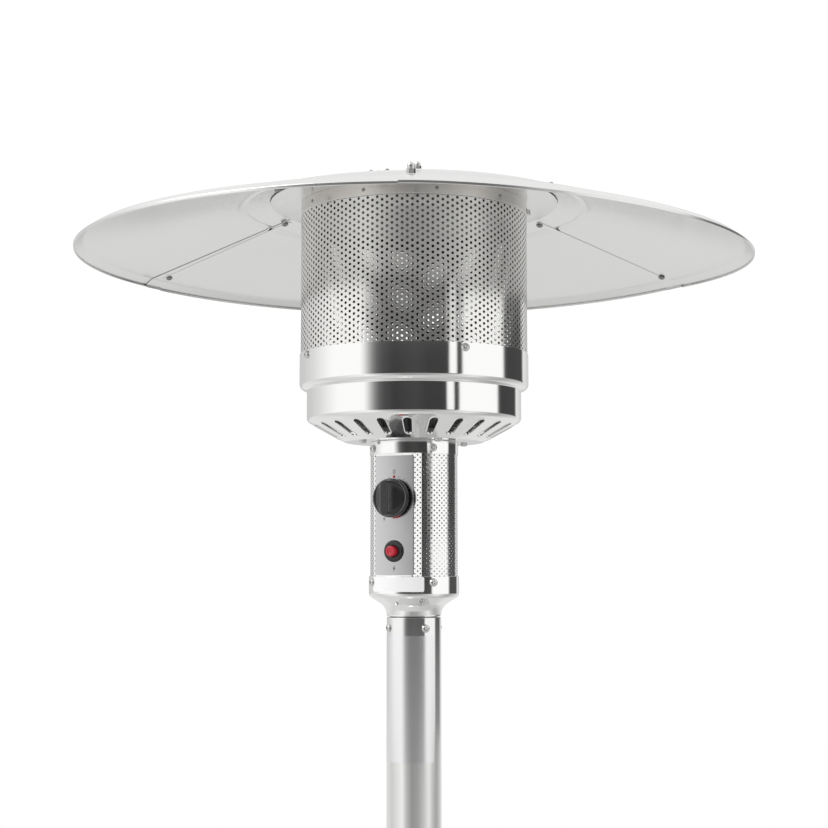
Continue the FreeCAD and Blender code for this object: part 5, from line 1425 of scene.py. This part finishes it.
@dataclass(frozen=True)
class ControlHousing:
    """The head of the post: cup, perforated cover with one flat side, ring, front panel and labels."""

    joint: float = 1669.0
    cup_top: float = 1717.6
    ring_bottom: float = 1862.0
    ring_top: float = 1877.6
    post: float = POST_RADIUS
    cup: float = 54.1
    cup_wall: float = 1.2
    flare_low: float = 11.2
    flare_high: float = 25.1
    joint_gap: float = 1.4
    spigot_inset: float = 1.7
    spigot_long: float = 34.0
    groove_deep: float = 3.2
    ring: float = 53.3
    bore: float = 20.0
    cover: float = 52.3
    sheet: float = 0.8
    overlap: float = 12.0
    plain_edge: float = 2.5
    facet: float = 41.6
    ledge: float = 1.2
    columns: int = 74
    right_columns: int = 4
    left_columns: int = 1
    front: float = PANEL_FRONT
    middle: float = PANEL_MIDDLE
    panel_low: float = 1718.9
    panel_wide: float = 50.4
    panel_high: float = 140.9
    panel_round: float = 1.5
    window_wide: float = 42.0
    window_margin: float = 8.0
    knob_level: float = KNOB_LEVEL
    igniter_level: float = IGNITER_LEVEL
    knob_hole: float = 9.3
    igniter_hole: float = 9.3
    screw_turn: float = SCREW_TURN
    screw_rows: tuple[tuple[float, float], ...] = ((POST_RADIUS, 1656.6), (54.1, 1710.7), (53.3, 1868.6))
    print_thick: float = 0.12
    # Figures of the dial: what, how high, and its place from the knob's axis
    figures: tuple[tuple[str, float, float, float], ...] = (("0", 7.5, 0.2, 30.8), ("9", 6.0, -13.2, -24.9))
    tick_place: float = 25.4
    tick_wide: float = 0.6
    tick_long: float = 1.8
    tick_turns: tuple[float, ...] = (-45.0, -30.0, -15.0, 15.0, 30.0, 45.0)
    dot: float = 1.8
    dot_place: float = 25.3
    arc_inner: float = 22.4
    arc_outer: float = 23.9
    arc_start: float = -95.0
    arc_sweep: float = 28.0
    flash_drop: float = 20.4
    flash_outline: tuple[Corner, ...] = (
        (-1.9, -0.3), (0.9, 3.6), (0.4, 0.7), (1.9, 0.7), (-0.9, -3.6), (-0.4, -0.3))
    # Labels: angle of the middle, sweep, and how far the lower and upper edge lie under cup_top or joint
    cup_label: tuple[float, float, float, float] = (-87.3, 75.2, 17.8, 0.4)
    post_label: tuple[float, float, float, float] = (-90.0, 146.0, 168.0, 21.0)

    def _ledge(self, radius: float, level: float) -> Blank:
        """The flat sliver that closes a round edge over the cover's flat side.

        Args:
            radius: Radius of the edge.
            level: The sliver's underside.

        Returns:
            The sliver.
        """
        half = math.degrees(math.acos(self.facet / radius))
        ledge = Blank().draw([(radius, 0.0)]).spin(24, half * 2, -90.0 - half)
        ledge.bm.edges.new([vert for vert in ledge.bm.verts if len(vert.link_edges) == 1])
        return ledge.plate(self.ledge).shift(z=level)

    def _cup(self) -> Blank:
        """The spun cup with its spigot in the post.

        Returns:
            The cup, without the spigot, which becomes a piece of its own.
        """
        wall, lip, high = self.cup_wall, self.joint_gap, self.cup_top - self.joint
        spigot = self.post - self.spigot_inset
        groove = spigot - self.groove_deep
        cup = Blank().lathe([(groove, lip), (self.post, lip, 0.3), (self.post, self.flare_low, 15.8),
                             (self.cup, self.flare_high, 6.5), (self.cup, high, 0.25),
                             (self.cup - wall, high, 0.25), (self.cup - wall, self.flare_high + wall, 5.4),
                             (self.post - wall, self.flare_low + wall, 14.6), (self.post - wall, lip + wall),
                             (groove, lip + wall)], steps=144, round_steps=8)
        inside = Blank().lathe([(spigot, -self.spigot_long), (spigot, -wall), (groove, -wall),
                                (groove, lip + wall), (groove - wall, lip + wall), (groove - wall, -wall * 2),
                                (spigot - wall, -wall * 2), (spigot - wall, -self.spigot_long)], steps=72)
        # The spigot shows only in the joint's groove, and its darker steel there is painted shade
        inside.shift(z=self.joint).piece("cup_spigot", DULL_FASTENER)
        return cup.shift(z=self.joint).absorb(self._ledge(self.cup - wall / 2, self.cup_top - self.ledge))

    def _ring(self) -> Blank:
        """The ring between the cover and the burner bowl.

        Returns:
            The ring.
        """
        high = self.ring_top - self.ring_bottom
        ring = Blank().lathe([(self.ring, 0.0), (self.ring, high, 1.1), (self.bore, high)], self.sheet)
        ring.shift(z=self.ring_bottom)
        return ring.absorb(self._ledge(self.ring - self.sheet / 2, self.ring_bottom))

    def _cover(self) -> Blank:
        """The perforated cover, its plain ends inside cup and ring, and the plain frame behind the panel.

        Returns:
            The cover.
        """
        sheet = Perforated(self.cover, hole=2.05, column=3.5, pitch=5.9)
        low, high = self.cup_top - self.plain_edge, self.ring_bottom + self.plain_edge
        bottom, top = self.cup_top - self.overlap, self.ring_bottom + self.overlap
        half = math.degrees(math.acos(self.facet / self.cover))
        sweep = FULL - half * 2
        step = sweep / self.columns
        edge = math.sqrt(self.cover ** 2 - self.facet ** 2)
        round_part = sheet.drum(self.columns, low, high, half - 90.0 + step / 2, sweep)
        right = sheet.strip(self.right_columns, low, high, True)
        right.shift(x=edge - sheet.column * (self.right_columns - 0.5), y=-self.facet)
        left = sheet.strip(self.left_columns, low, high, False)
        left.shift(x=sheet.column / 2 - edge, y=-self.facet)
        cover = round_part.absorb(right, left).weld(0.08).face(OUT, True)
        cover.thicken(sheet.wall)
        for start, end in ((bottom, low), (high, top)):
            band = Blank().draw([(self.cover, start), (self.cover, end)])
            band.spin(self.columns, sweep, half - 90.0).face(OUT, True)
            cover.absorb(band.thicken(self.sheet))
        right_end = edge - sheet.column * self.right_columns
        left_end = sheet.column * self.left_columns - edge
        frame_plate = Blank().rectangle((left_end + right_end) / 2, (bottom + top) / 2, right_end - left_end,
                                        top - bottom)
        frame_plate.rectangle(self.middle, self.panel_low + self.panel_high / 2, self.window_wide,
                              self.panel_high - self.window_margin * 2, 3.0)
        return cover.absorb(frame_plate.plate(self.sheet).frontwards(0.0, self.sheet - self.facet, 0.0))

    def _panel(self) -> Blank:
        """The front panel with its two holes and eased edges.

        Returns:
            The panel.
        """
        thick = self.front - self.facet
        panel = Blank().rectangle(0.0, self.panel_high / 2, self.panel_wide, self.panel_high,
                                  self.panel_round)
        for level, radius in ((self.knob_level, self.knob_hole), (self.igniter_level, self.igniter_hole)):
            ring = bmesh.ops.create_circle(panel.bm, cap_ends=False, segments=48, radius=radius)
            bmesh.ops.translate(panel.bm, vec=(0, level - self.panel_low, 0), verts=ring["verts"])
        panel.plate(thick).ease(0.45, 3, 50.0)
        return panel.frontwards(self.middle, thick - self.front, self.panel_low)

    def _printed(self, blank: Blank, along: float, level: float) -> Blank:
        """Lays a flat drawing on the panel.

        Args:
            blank: The drawing, with its faces filled.
            along: Its middle to the right of the knob's axis.
            level: Its middle above the ground.

        Returns:
            The print.
        """
        return blank.raised(self.print_thick).frontwards(self.middle + along, -self.front - 0.01, level)

    def _marks(self) -> None:
        """Prints the dial: plain figures, ticks, a red dot and arc, and a flash under the igniter."""
        ink = Blank()
        for text, high, along, above in self.figures:
            ink.absorb(self._printed(Blank().figure(text, high), along, self.knob_level + above))
        for angle in self.tick_turns:
            tick = Blank().rectangle(0.0, self.tick_place, self.tick_wide, self.tick_long, 0.25)
            ink.absorb(self._printed(tick.turn(angle).fill(), 0.0, self.knob_level))
        flash = Blank().draw(self.flash_outline, flat=True, closed=True).fill()
        ink.absorb(self._printed(flash, 0.0, self.igniter_level - self.flash_drop))
        ink.piece("dial_marks", INK)
        dot = Blank()
        bmesh.ops.create_circle(dot.bm, cap_ends=True, segments=32, radius=self.dot)
        arc = Blank().draw([(self.arc_inner, 0.0), (self.arc_outer, 0.0)], flat=True)
        arc.spin(10, self.arc_sweep, self.arc_start)
        red = self._printed(dot, 0.0, self.knob_level + self.dot_place)
        red.absorb(self._printed(arc, 0.0, self.knob_level)).piece("dial_red_marks", RED_PLASTIC)

    def _label(self, radius: float, middle: float, sweep: float, low: float, high: float) -> Blank:
        """A bare label that is wrapped on a round wall.

        Args:
            radius: The wall's outer radius.
            middle: Angle of the label's middle.
            sweep: Angle that it covers.
            low: Its lower edge.
            high: Its upper edge.

        Returns:
            The label.
        """
        wide = math.radians(sweep) * radius
        label = Blank().rectangle(0.0, (low + high) / 2, wide, high - low, 2.0).fill().slices(2.0)
        label.roll(radius + self.print_thick + 0.02).turn(middle).face(OUT, True)
        return label.thicken(self.print_thick)

    def build(self) -> None:
        """Makes the housing's sheets, its panel with the printed dial, its labels and its screws."""
        self._cup().piece("control_cup_shell", POLISHED, replaces=["control_cup"], crease=38.0)
        self._ring().piece("housing_ring", POLISHED, replaces=["control_ring"])
        self._cover().piece("perforated_cover", COVER, replaces=["control_cover"], crease=24.0)
        self._panel().piece("front_panel", PANEL, replaces=["control_panel"])
        self._marks()
        for name, finish, radius, level, (middle, sweep, low, high) in (
                ("cup_label", LABEL, self.cup, self.cup_top, self.cup_label),
                ("post_label", FILM, self.post, self.joint, self.post_label)):
            self._label(radius, middle, sweep, level - low, level - high).piece(name, finish)
        heads = Blank()
        for radius, level in self.screw_rows:
            heads.absorb(PanHead().blank().outwards(radius, level, self.screw_turn).repeat(4))
        heads.piece("housing_screw_heads", FASTENER, replaces=["housing_screws"])


@dataclass(frozen=True)
class Knob:
    """The gas knob: a round skirt whose face is scooped away on both sides of a grip bar."""

    middle: float = PANEL_MIDDLE
    front: float = PANEL_FRONT
    level: float = KNOB_LEVEL
    radius: float = 22.9
    back: float = 5.0
    face: float = 11.4
    top: float = 24.5
    bore: float = 4.2
    grip_half: float = 5.6
    grip_long: float = 20.4
    scoop: float = 19.6
    rings: int = 9
    # Powers of how the flanks narrow and rise towards the top
    flank_hollow: float = 2.4
    flank_rise: float = 0.8
    foot_longer: float = 0.9
    end_round: float = 0.97
    crown_round: float = 1.1
    pointer_wide: float = 1.0
    pointer_long: float = 9.0
    pointer_place: float = 0.62
    # Width and inset of the pale strips of painted highlight along the grip's edges
    highlight_wide: float = 0.7
    highlight_inset: float = 0.55

    def _grip(self) -> Blank:
        """The bar, whose hollow flanks run out into the skirt's face.

        Returns:
            The bar.
        """
        grip = Blank()
        below: list[bmesh.types.BMEdge] = []
        for ring in range(self.rings):
            share = ring / (self.rings - 1)
            half = self.grip_half + (self.scoop - self.grip_half) * (1.0 - share) ** self.flank_hollow
            long = self.grip_long + self.foot_longer * (1.0 - share)
            before = set(grip.bm.edges)
            grip.rectangle(0.0, 0.0, half * 2, long * 2, half * self.end_round, 10)
            edges = [edge for edge in grip.bm.edges if edge not in before]
            spots = {vert for edge in edges for vert in edge.verts}
            rise = self.face - 0.2 + (self.top - self.face + 0.2) * share ** self.flank_rise
            bmesh.ops.translate(grip.bm, vec=(0, 0, rise), verts=list(spots))
            if below:
                bmesh.ops.bridge_loops(grip.bm, edges=below + edges)
            below = [edge for edge in edges if edge.is_valid]
        bmesh.ops.edgeloop_fill(grip.bm, edges=below)
        grip.weld()
        crown = [edge for edge in grip.bm.edges if min(vert.co.z for vert in edge.verts) > self.top - 0.01]
        return grip.bevel(crown, self.crown_round, 3)

    def build(self) -> None:
        """Makes the knob, with a moulded pointer line on its grip and pale strips of painted highlight."""
        knob = Blank().lathe([(self.bore, self.back), (self.radius, self.back, 0.5),
                              (self.radius, self.face, 1.5), (self.radius - 2.6, self.face + 0.5, 1.0),
                              (self.radius - 4.2, self.face - 0.6, 1.0), (self.bore, self.face - 0.8)],
                             steps=96)
        pointer = Blank().rectangle(0.0, self.grip_long * self.pointer_place, self.pointer_wide,
                                    self.pointer_long, 0.45).plate(0.25)
        knob.absorb(self._grip(), pointer.shift(z=self.top - 0.05))
        knob.frontwards(self.middle, -self.front, self.level)
        knob.piece("gas_knob", BLACK_PLASTIC, "knob", ["control_knob"], 30.0)
        # Painted highlight: pale strips round the skirt's rim and along the grip bar's edges
        highlight_lines = Blank().lathe([(self.radius - 2.0, self.face + 0.2), (self.radius - 1.2, self.face + 0.2),
                              (self.radius - 1.3, self.face + 0.62), (self.radius - 1.9, self.face + 0.62)],
                             steps=96)
        for side in (-1.0, 1.0):
            edge = Blank().rectangle(side * (self.grip_half - self.highlight_inset), 0.0, self.highlight_wide,
                                     self.grip_long * 1.6, 0.3)
            highlight_lines.absorb(edge.plate(0.4).shift(z=self.top - 0.62))
        highlight_lines.frontwards(self.middle, -self.front, self.level).piece("knob_edge_lines", PAINTED_HIGHLIGHT_EDGE, "knob")


@dataclass(frozen=True)
class Igniter:
    """The push button of the igniter and the bezel that it stands in."""

    middle: float = PANEL_MIDDLE
    front: float = PANEL_FRONT
    level: float = IGNITER_LEVEL
    barrel: float = 9.0
    barrel_long: float = 20.0
    bezel: float = 12.9
    bezel_high: float = 2.6
    button: float = 6.2
    proud: float = 10.2
    tail: float = 12.0
    gap: float = 0.3

    def build(self) -> None:
        """Makes the bezel and the button."""
        bore = self.button + self.gap
        bezel = Blank().lathe([(bore, -self.barrel_long), (self.barrel, -self.barrel_long),
                               (self.barrel, 0.0), (self.bezel, 0.0), (self.bezel, 1.3, 0.9),
                               (self.bezel - 2.0, self.bezel_high, 1.0), (bore + 0.7, self.bezel_high, 0.4),
                               (bore, self.bezel_high - 0.7)], steps=72)
        bezel.frontwards(self.middle, -self.front, self.level)
        bezel.piece("igniter_bezel_ring", BLACK_PLASTIC, replaces=["igniter_bezel"], crease=30.0)
        button = Blank().draw([(0.0, -self.tail), (self.button, -self.tail, 0.4),
                               (self.button, self.proud, 1.6), (self.button - 2.6, self.proud, 1.2),
                               (self.button - 3.2, self.proud - 0.5, 1.2), (0.0, self.proud - 0.55)])
        button.spin(56).frontwards(self.middle, -self.front, self.level)
        button.piece("igniter_push_button", RED_PLASTIC, "igniter_button", ["igniter_button"])


@dataclass(frozen=True)
class Stand:
    """The post, the lift-up housing round the gas cylinder, and the base with its wheels."""

    post: float = POST_RADIUS
    post_wall: float = 1.5
    post_foot: float = 691.0
    post_long: float = 978.0
    housing: float = 183.0
    housing_foot: float = 46.3
    housing_high: float = 740.0
    lid_level: float = 768.3
    lid_skirt: float = 26.0
    lid_high: float = 58.0
    lid_neck: float = 14.0
    sheet: float = 1.0
    vents: int = 12
    vent_wide: float = 8.0
    vent_high: float = 56.0
    vent_round: float = 3.9
    vent_levels: tuple[float, float] = (40.0, 674.0)
    pan: float = 235.0
    pan_high: float = 46.0
    pan_wall: float = 1.2
    pan_round: float = 14.0
    pan_lift: float = 1.0
    tyre: float = 50.0
    rim: float = 41.2
    tyre_half: float = 11.0
    rim_half: float = 8.8
    tread_half: float = 5.5
    shoulder: float = 4.5
    grooves: tuple[float, float, float] = (-3.6, 0.0, 3.6)
    groove_deep: float = 0.9
    groove_half: float = 0.7
    groove_floor: float = 0.45
    wheel_place: float = 63.4
    axle_back: float = 285.0
    axle_level: float = 56.0
    # Low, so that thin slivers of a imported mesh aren't shaded across an edge
    copy_crease: float = 20.0

    def _housing(self) -> Blank:
        """The housing's wall, with two rows of vents.

        Returns:
            The wall.
        """
        half = math.pi * self.housing / self.vents
        sector = Blank().rectangle(0.0, self.housing_high / 2, half * 2, self.housing_high)
        for level in self.vent_levels:
            sector.rectangle(0.0, level, self.vent_wide, self.vent_high, self.vent_round)
        sector.fill().slices(half / 5).roll(self.housing).repeat(self.vents)
        sector.weld(0.01).face(OUT, True)
        return sector.thicken(self.sheet).shift(z=self.housing_foot)

    def _lid(self) -> Blank:
        """The housing's sloping top, which clears the post.

        Returns:
            The top.
        """
        outer, neck = self.housing + 1.2, self.post + 1.8
        lid = Blank().lathe([(outer, 0.0), (outer, self.lid_skirt, 9.0), (neck, self.lid_high, 3.0),
                             (neck, self.lid_high + self.lid_neck)], self.sheet, 144, 6)
        return lid.shift(z=self.lid_level)

    def _pan(self) -> Blank:
        """The pressed base pan, with a round shoulder and an upright skirt.

        Returns:
            The pan.
        """
        low, wall, under = self.pan_lift, self.pan_wall, self.pan_high - self.pan_wall
        return Blank().lathe([(0.0, under), (self.pan - self.pan_round, under, 0.1),
                              (self.pan - wall, under, self.pan_round - wall), (self.pan - wall, low),
                              (self.pan, low), (self.pan, self.pan_high, self.pan_round),
                              (0.0, self.pan_high)], steps=180, round_steps=6)

    def _tyre(self) -> Blank:
        """One tyre about the upright axis, with three grooves in its tread.

        Returns:
            The tyre.
        """
        floor, side = self.tyre - self.groove_deep, self.tyre - self.shoulder
        tread = [(self.tyre, -self.tread_half, 1.2)]
        for place in self.grooves:
            tread += [(self.tyre, place - self.groove_half), (floor, place - self.groove_floor),
                      (floor, place + self.groove_floor), (self.tyre, place + self.groove_half)]
        tread.append((self.tyre, self.tread_half, 1.2))
        return Blank().lathe([(self.rim, -self.rim_half), (side, -self.tyre_half, 2.0), *tread,
                              (side, self.tyre_half, 2.0), (self.rim, self.rim_half)], steps=96)

    def build(self) -> None:
        """Makes the post, housing, lid, pan and tyres, and smooths what the solids give of the rest."""
        inner = self.post - self.post_wall
        post = Blank().lathe([(inner, 0.0), (self.post, 0.0, 0.3), (self.post, self.post_long, 0.3),
                              (inner, self.post_long)])
        post.shift(z=self.post_foot).piece("post_tube", POST_STEEL, replaces=["post"])
        self._housing().piece("housing_wall", HOUSING, "tank_housing", ["housing_shell"], 24.0)
        self._lid().piece("housing_top", HOUSING, "tank_housing", ["housing_lid"], 30.0)
        self._pan().piece("pressed_base_pan", HOUSING, replaces=["base_pan"], crease=30.0)
        for side, sign in (("left", -1.0), ("right", 1.0)):
            tyre = self._tyre().turn(90.0, "Y")
            tyre.shift(self.wheel_place * sign, self.axle_back, self.axle_level)
            tyre.piece(f"{side}_grooved_tyre", RUBBER, f"wheel_{side}_body", [f"tyre_{side}"])
        for name, finish in SMOOTHED.items():
            copy = Blank().like(name)
            copy.piece(f"{name}_finished", finish, BODY_OF[name], [name], self.copy_crease)


# Studio


@dataclass(frozen=True)
class Studio:
    """The camera, the floor, and a soft room whose dark cards the polished steel shows."""

    turn: float = 27.5
    distance: float = 1923.5
    height: float = 1740.2
    pitch: float = 5.11
    focal_pixels: float = 1600.0
    picture: float = 828.0
    sensor: float = 36.0
    floor_radius: float = 14000.0
    floor_gap: float = 0.5
    glow: float = 1.08
    # Angles from the camera's side, positive to the picture's right, with the shade that metal sees there
    upper_cards: tuple[tuple[float, float], ...] = (
        (-180, 0.54), (-143, 0.60), (-119, 0.72), (-101, 0.88), (-87, 1.0), (-54, 1.0), (-50, 0.78),
        (-45.5, 0.46), (-41, 0.23), (-36.5, 0.115), (-31, 0.070), (-20, 0.042), (-8, 0.050),
        (2, 0.055), (14, 0.042), (34, 0.042), (35.5, 1.0), (42, 1.0), (43.5, 0.05), (47.5, 0.05),
        (49.5, 1.0), (98, 1.0), (102, 0.10), (106, 0.05), (136, 0.06), (141, 0.80), (152, 0.66), (180, 0.54))
    lower_cards: tuple[tuple[float, float], ...] = (
        (-180, 0.54), (-134, 0.62), (-111, 0.78), (-92, 1.0), (-53, 1.0), (-47, 0.80), (-42, 0.48),
        (-37, 0.20), (-31, 0.10), (-20, 0.05), (0, 0.062), (36, 0.05), (44, 0.07), (48, 1.0),
        (96, 1.0), (103, 0.07), (136, 0.08), (143, 0.80), (152, 0.66), (180, 0.54))
    floor_cards: tuple[tuple[float, float], ...] = (
        (-180, 0.82), (-130, 0.80), (-105, 0.70), (-80, 0.82), (-50, 1.0), (-32, 0.60), (-10, 0.34),
        (15, 0.40), (40, 0.62), (65, 0.90), (85, 0.56), (105, 0.42), (128, 0.60), (150, 0.80), (180, 0.82))
    near_cards: tuple[tuple[float, float], ...] = (
        (-180, 0.72), (-60, 0.72), (0, 0.66), (60, 0.58), (120, 0.56), (180, 0.72))
    # By height, from straight down at 0 to straight up at 1: the share of the upper cards among all
    # cards, the share of cards in the room, and the shade of its bare walls
    upper_from: tuple[tuple[float, float], ...] = ((0.530, 0.0), (0.534, 1.0))
    belt: tuple[tuple[float, float], ...] = (
        (0.30, 0.0), (0.38, 0.5), (0.46, 0.75), (0.485, 1.0), (0.572, 1.0), (0.582, 0.74), (0.61, 0.62),
        (0.68, 0.50), (0.76, 0.0))
    walls: tuple[tuple[float, float], ...] = ((0.45, 0.70), (0.62, 0.92))
    # By distance over the floor, from the axis at 0 to its edge at 1: the share of floor_cards in what
    # metal sees, and the share of plain white in what the camera sees
    far_from: tuple[tuple[float, float], ...] = ((0.11, 0.0), (0.16, 1.0))
    white_from: tuple[tuple[float, float], ...] = ((0.08, 0.0), (0.30, 1.0))
    lamp_wide: float = 2.2
    lamp_power: float = 34.0
    lamp_place: Point = (-1.3, -1.9, 3.6)
    lamp_aim: Point = (0.0, 0.0, 1.0)

    def camera(self) -> None:
        """Places the camera where the photograph was taken from."""
        lens = bpy.data.cameras.new("studio_camera")
        lens.sensor_fit = "HORIZONTAL"
        lens.sensor_width = self.sensor
        lens.lens = self.focal_pixels / self.picture * self.sensor
        lens.clip_end = 100.0
        stand = bpy.data.objects.new("studio_camera", lens)
        angle = math.radians(self.turn)
        stand.location = Vector((math.sin(angle) * self.distance, -math.cos(angle) * self.distance,
                                 self.height)) * METRES
        stand.rotation_euler = (math.radians(90.0 + self.pitch), 0.0, angle)
        bpy.context.scene.collection.objects.link(stand)
        bpy.context.scene.camera = stand

    def _around(self, recipe: Recipe, place: Tap, cards: Sequence[tuple[float, float]]) -> Tap:
        """The shade of a set of cards by the angle about the heater's axis.

        Args:
            recipe: The node tree.
            place: A direction, or a point about the axis.
            cards: Angles and shades.

        Returns:
            The shade.
        """
        x, y, _ = recipe.axes(place)
        sine, cosine = math.sin(math.radians(self.turn)), math.cos(math.radians(self.turn))
        side, front = x * cosine + y * sine, x * sine - y * cosine
        share = side.maths("ARCTAN2", side, front) / math.tau + 0.5
        return recipe.ramp(share, [(angle / FULL + 0.5, float(shade)) for angle, shade in cards])

    def room(self) -> None:
        """Makes the world: white to the camera, and a bright room with dark cards to everything else."""
        world = bpy.data.worlds.new("studio_room")
        world.use_nodes = True
        bpy.context.scene.world = world
        recipe = Recipe(world.node_tree)
        ray = recipe.node("ShaderNodeTexCoord", None, None, "Generated")
        rise = recipe.axes(ray)[2] * 0.5 + 0.5
        upper = self._around(recipe, ray, self.upper_cards)
        lower = self._around(recipe, ray, self.lower_cards)
        cards = recipe.mix(recipe.ramp(rise, self.upper_from), lower, upper)
        shade = recipe.mix(recipe.ramp(rise, self.belt), recipe.ramp(rise, self.walls), cards)
        path = recipe.node("ShaderNodeLightPath", None, None, "Is Camera Ray")
        glow = recipe.node("ShaderNodeBackground", None,
                           {"Color": recipe.mix(path, shade, (1.0, 1.0, 1.0)), "Strength": self.glow})
        recipe.node("ShaderNodeOutputWorld", None, {"Surface": glow})

    def floor(self) -> None:
        """Lays a pale floor that keeps the heater's shadow and shows metal its own soft shades."""
        bm = bmesh.new()
        bmesh.ops.create_circle(bm, cap_ends=True, cap_tris=False, segments=96,
                                radius=self.floor_radius * METRES)
        mesh = bpy.data.meshes.new("studio_floor")
        bm.to_mesh(mesh)
        bm.free()
        floor = bpy.data.objects.new("studio_floor", mesh)
        floor.location.z = -self.floor_gap * METRES
        bpy.context.scene.collection.objects.link(floor)
        material = bpy.data.materials.new("pale_floor")
        material.use_nodes = True
        recipe = Recipe(material.node_tree)
        place = recipe.place()
        speckle = recipe.noise(place, 40.0, 3.0)
        tone = recipe.mix(speckle, (0.90, 0.90, 0.90), (0.97, 0.97, 0.97))
        matt = recipe.node("ShaderNodeBsdfDiffuse", None, {"Color": tone})
        x, y, _ = recipe.axes(place)
        reach = (x * x + y * y) ** 0.5 / (self.floor_radius * METRES)
        far = recipe.ramp(reach, self.far_from)
        shades = recipe.mix(far, self._around(recipe, place, self.near_cards),
                            self._around(recipe, place, self.floor_cards))
        mirrored = recipe.node("ShaderNodeEmission", None, {"Color": shades, "Strength": 1.0})
        glossy = recipe.node("ShaderNodeLightPath", None, None, "Is Glossy Ray")
        through = recipe.node("ShaderNodeLightPath", None, None, "Is Transmission Ray")
        seen = glossy.maths("MAXIMUM", glossy, through)
        white = recipe.node("ShaderNodeEmission", None, {"Color": (1.0, 1.0, 1.0), "Strength": 1.0})
        fade = recipe.ramp(reach, self.white_from, True)
        plain = recipe.node("ShaderNodeMixShader", None, {0: fade, 1: matt, 2: white})
        surface = recipe.node("ShaderNodeMixShader", None, {0: seen, 1: plain, 2: mirrored})
        recipe.node("ShaderNodeOutputMaterial", None, {"Surface": surface})
        mesh.materials.append(material)

    def lamps(self) -> None:
        """Hangs one wide soft lamp above and to the left, so that the heater casts a shadow."""
        lamp = bpy.data.lights.new("overhead_softbox", "AREA")
        lamp.shape = "DISK"
        lamp.size = self.lamp_wide
        lamp.energy = self.lamp_power
        holder = bpy.data.objects.new("overhead_softbox", lamp)
        holder.location = self.lamp_place
        aim = Vector(self.lamp_aim) - holder.location
        holder.rotation_euler = aim.to_track_quat("-Z", "Y").to_euler()
        bpy.context.scene.collection.objects.link(holder)

    def build(self) -> None:
        """Sets the whole studio up."""
        scene = bpy.context.scene
        scene.view_settings.view_transform = "Standard"
        self.camera()
        self.room()
        self.floor()
        self.lamps()


def dress_nodes() -> None:
    """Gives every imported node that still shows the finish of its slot."""
    for name, node in frame["nodes"].items():
        if node.hide_render:
            continue
        for holder in node.material_slots:
            slot = holder.material.name.split(".")[0]
            finish = SLOT_FINISHES[slot]
            holder.material = finish.material()
        LOG.info("node %s dressed", name)


def main() -> None:
    """Builds the studio and the heater's sub-assemblies in order, and reports each piece."""
    logging.basicConfig(level=logging.INFO, format="%(name)s: %(message)s")
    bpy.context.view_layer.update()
    Studio().build()
    for assembly in (Reflector(), Emitter(), Bowl(), ControlHousing(), Knob(), Igniter(), Stand()):
        assembly.build()
    dress_nodes()
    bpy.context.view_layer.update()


if __name__ == "__main__":
    main()
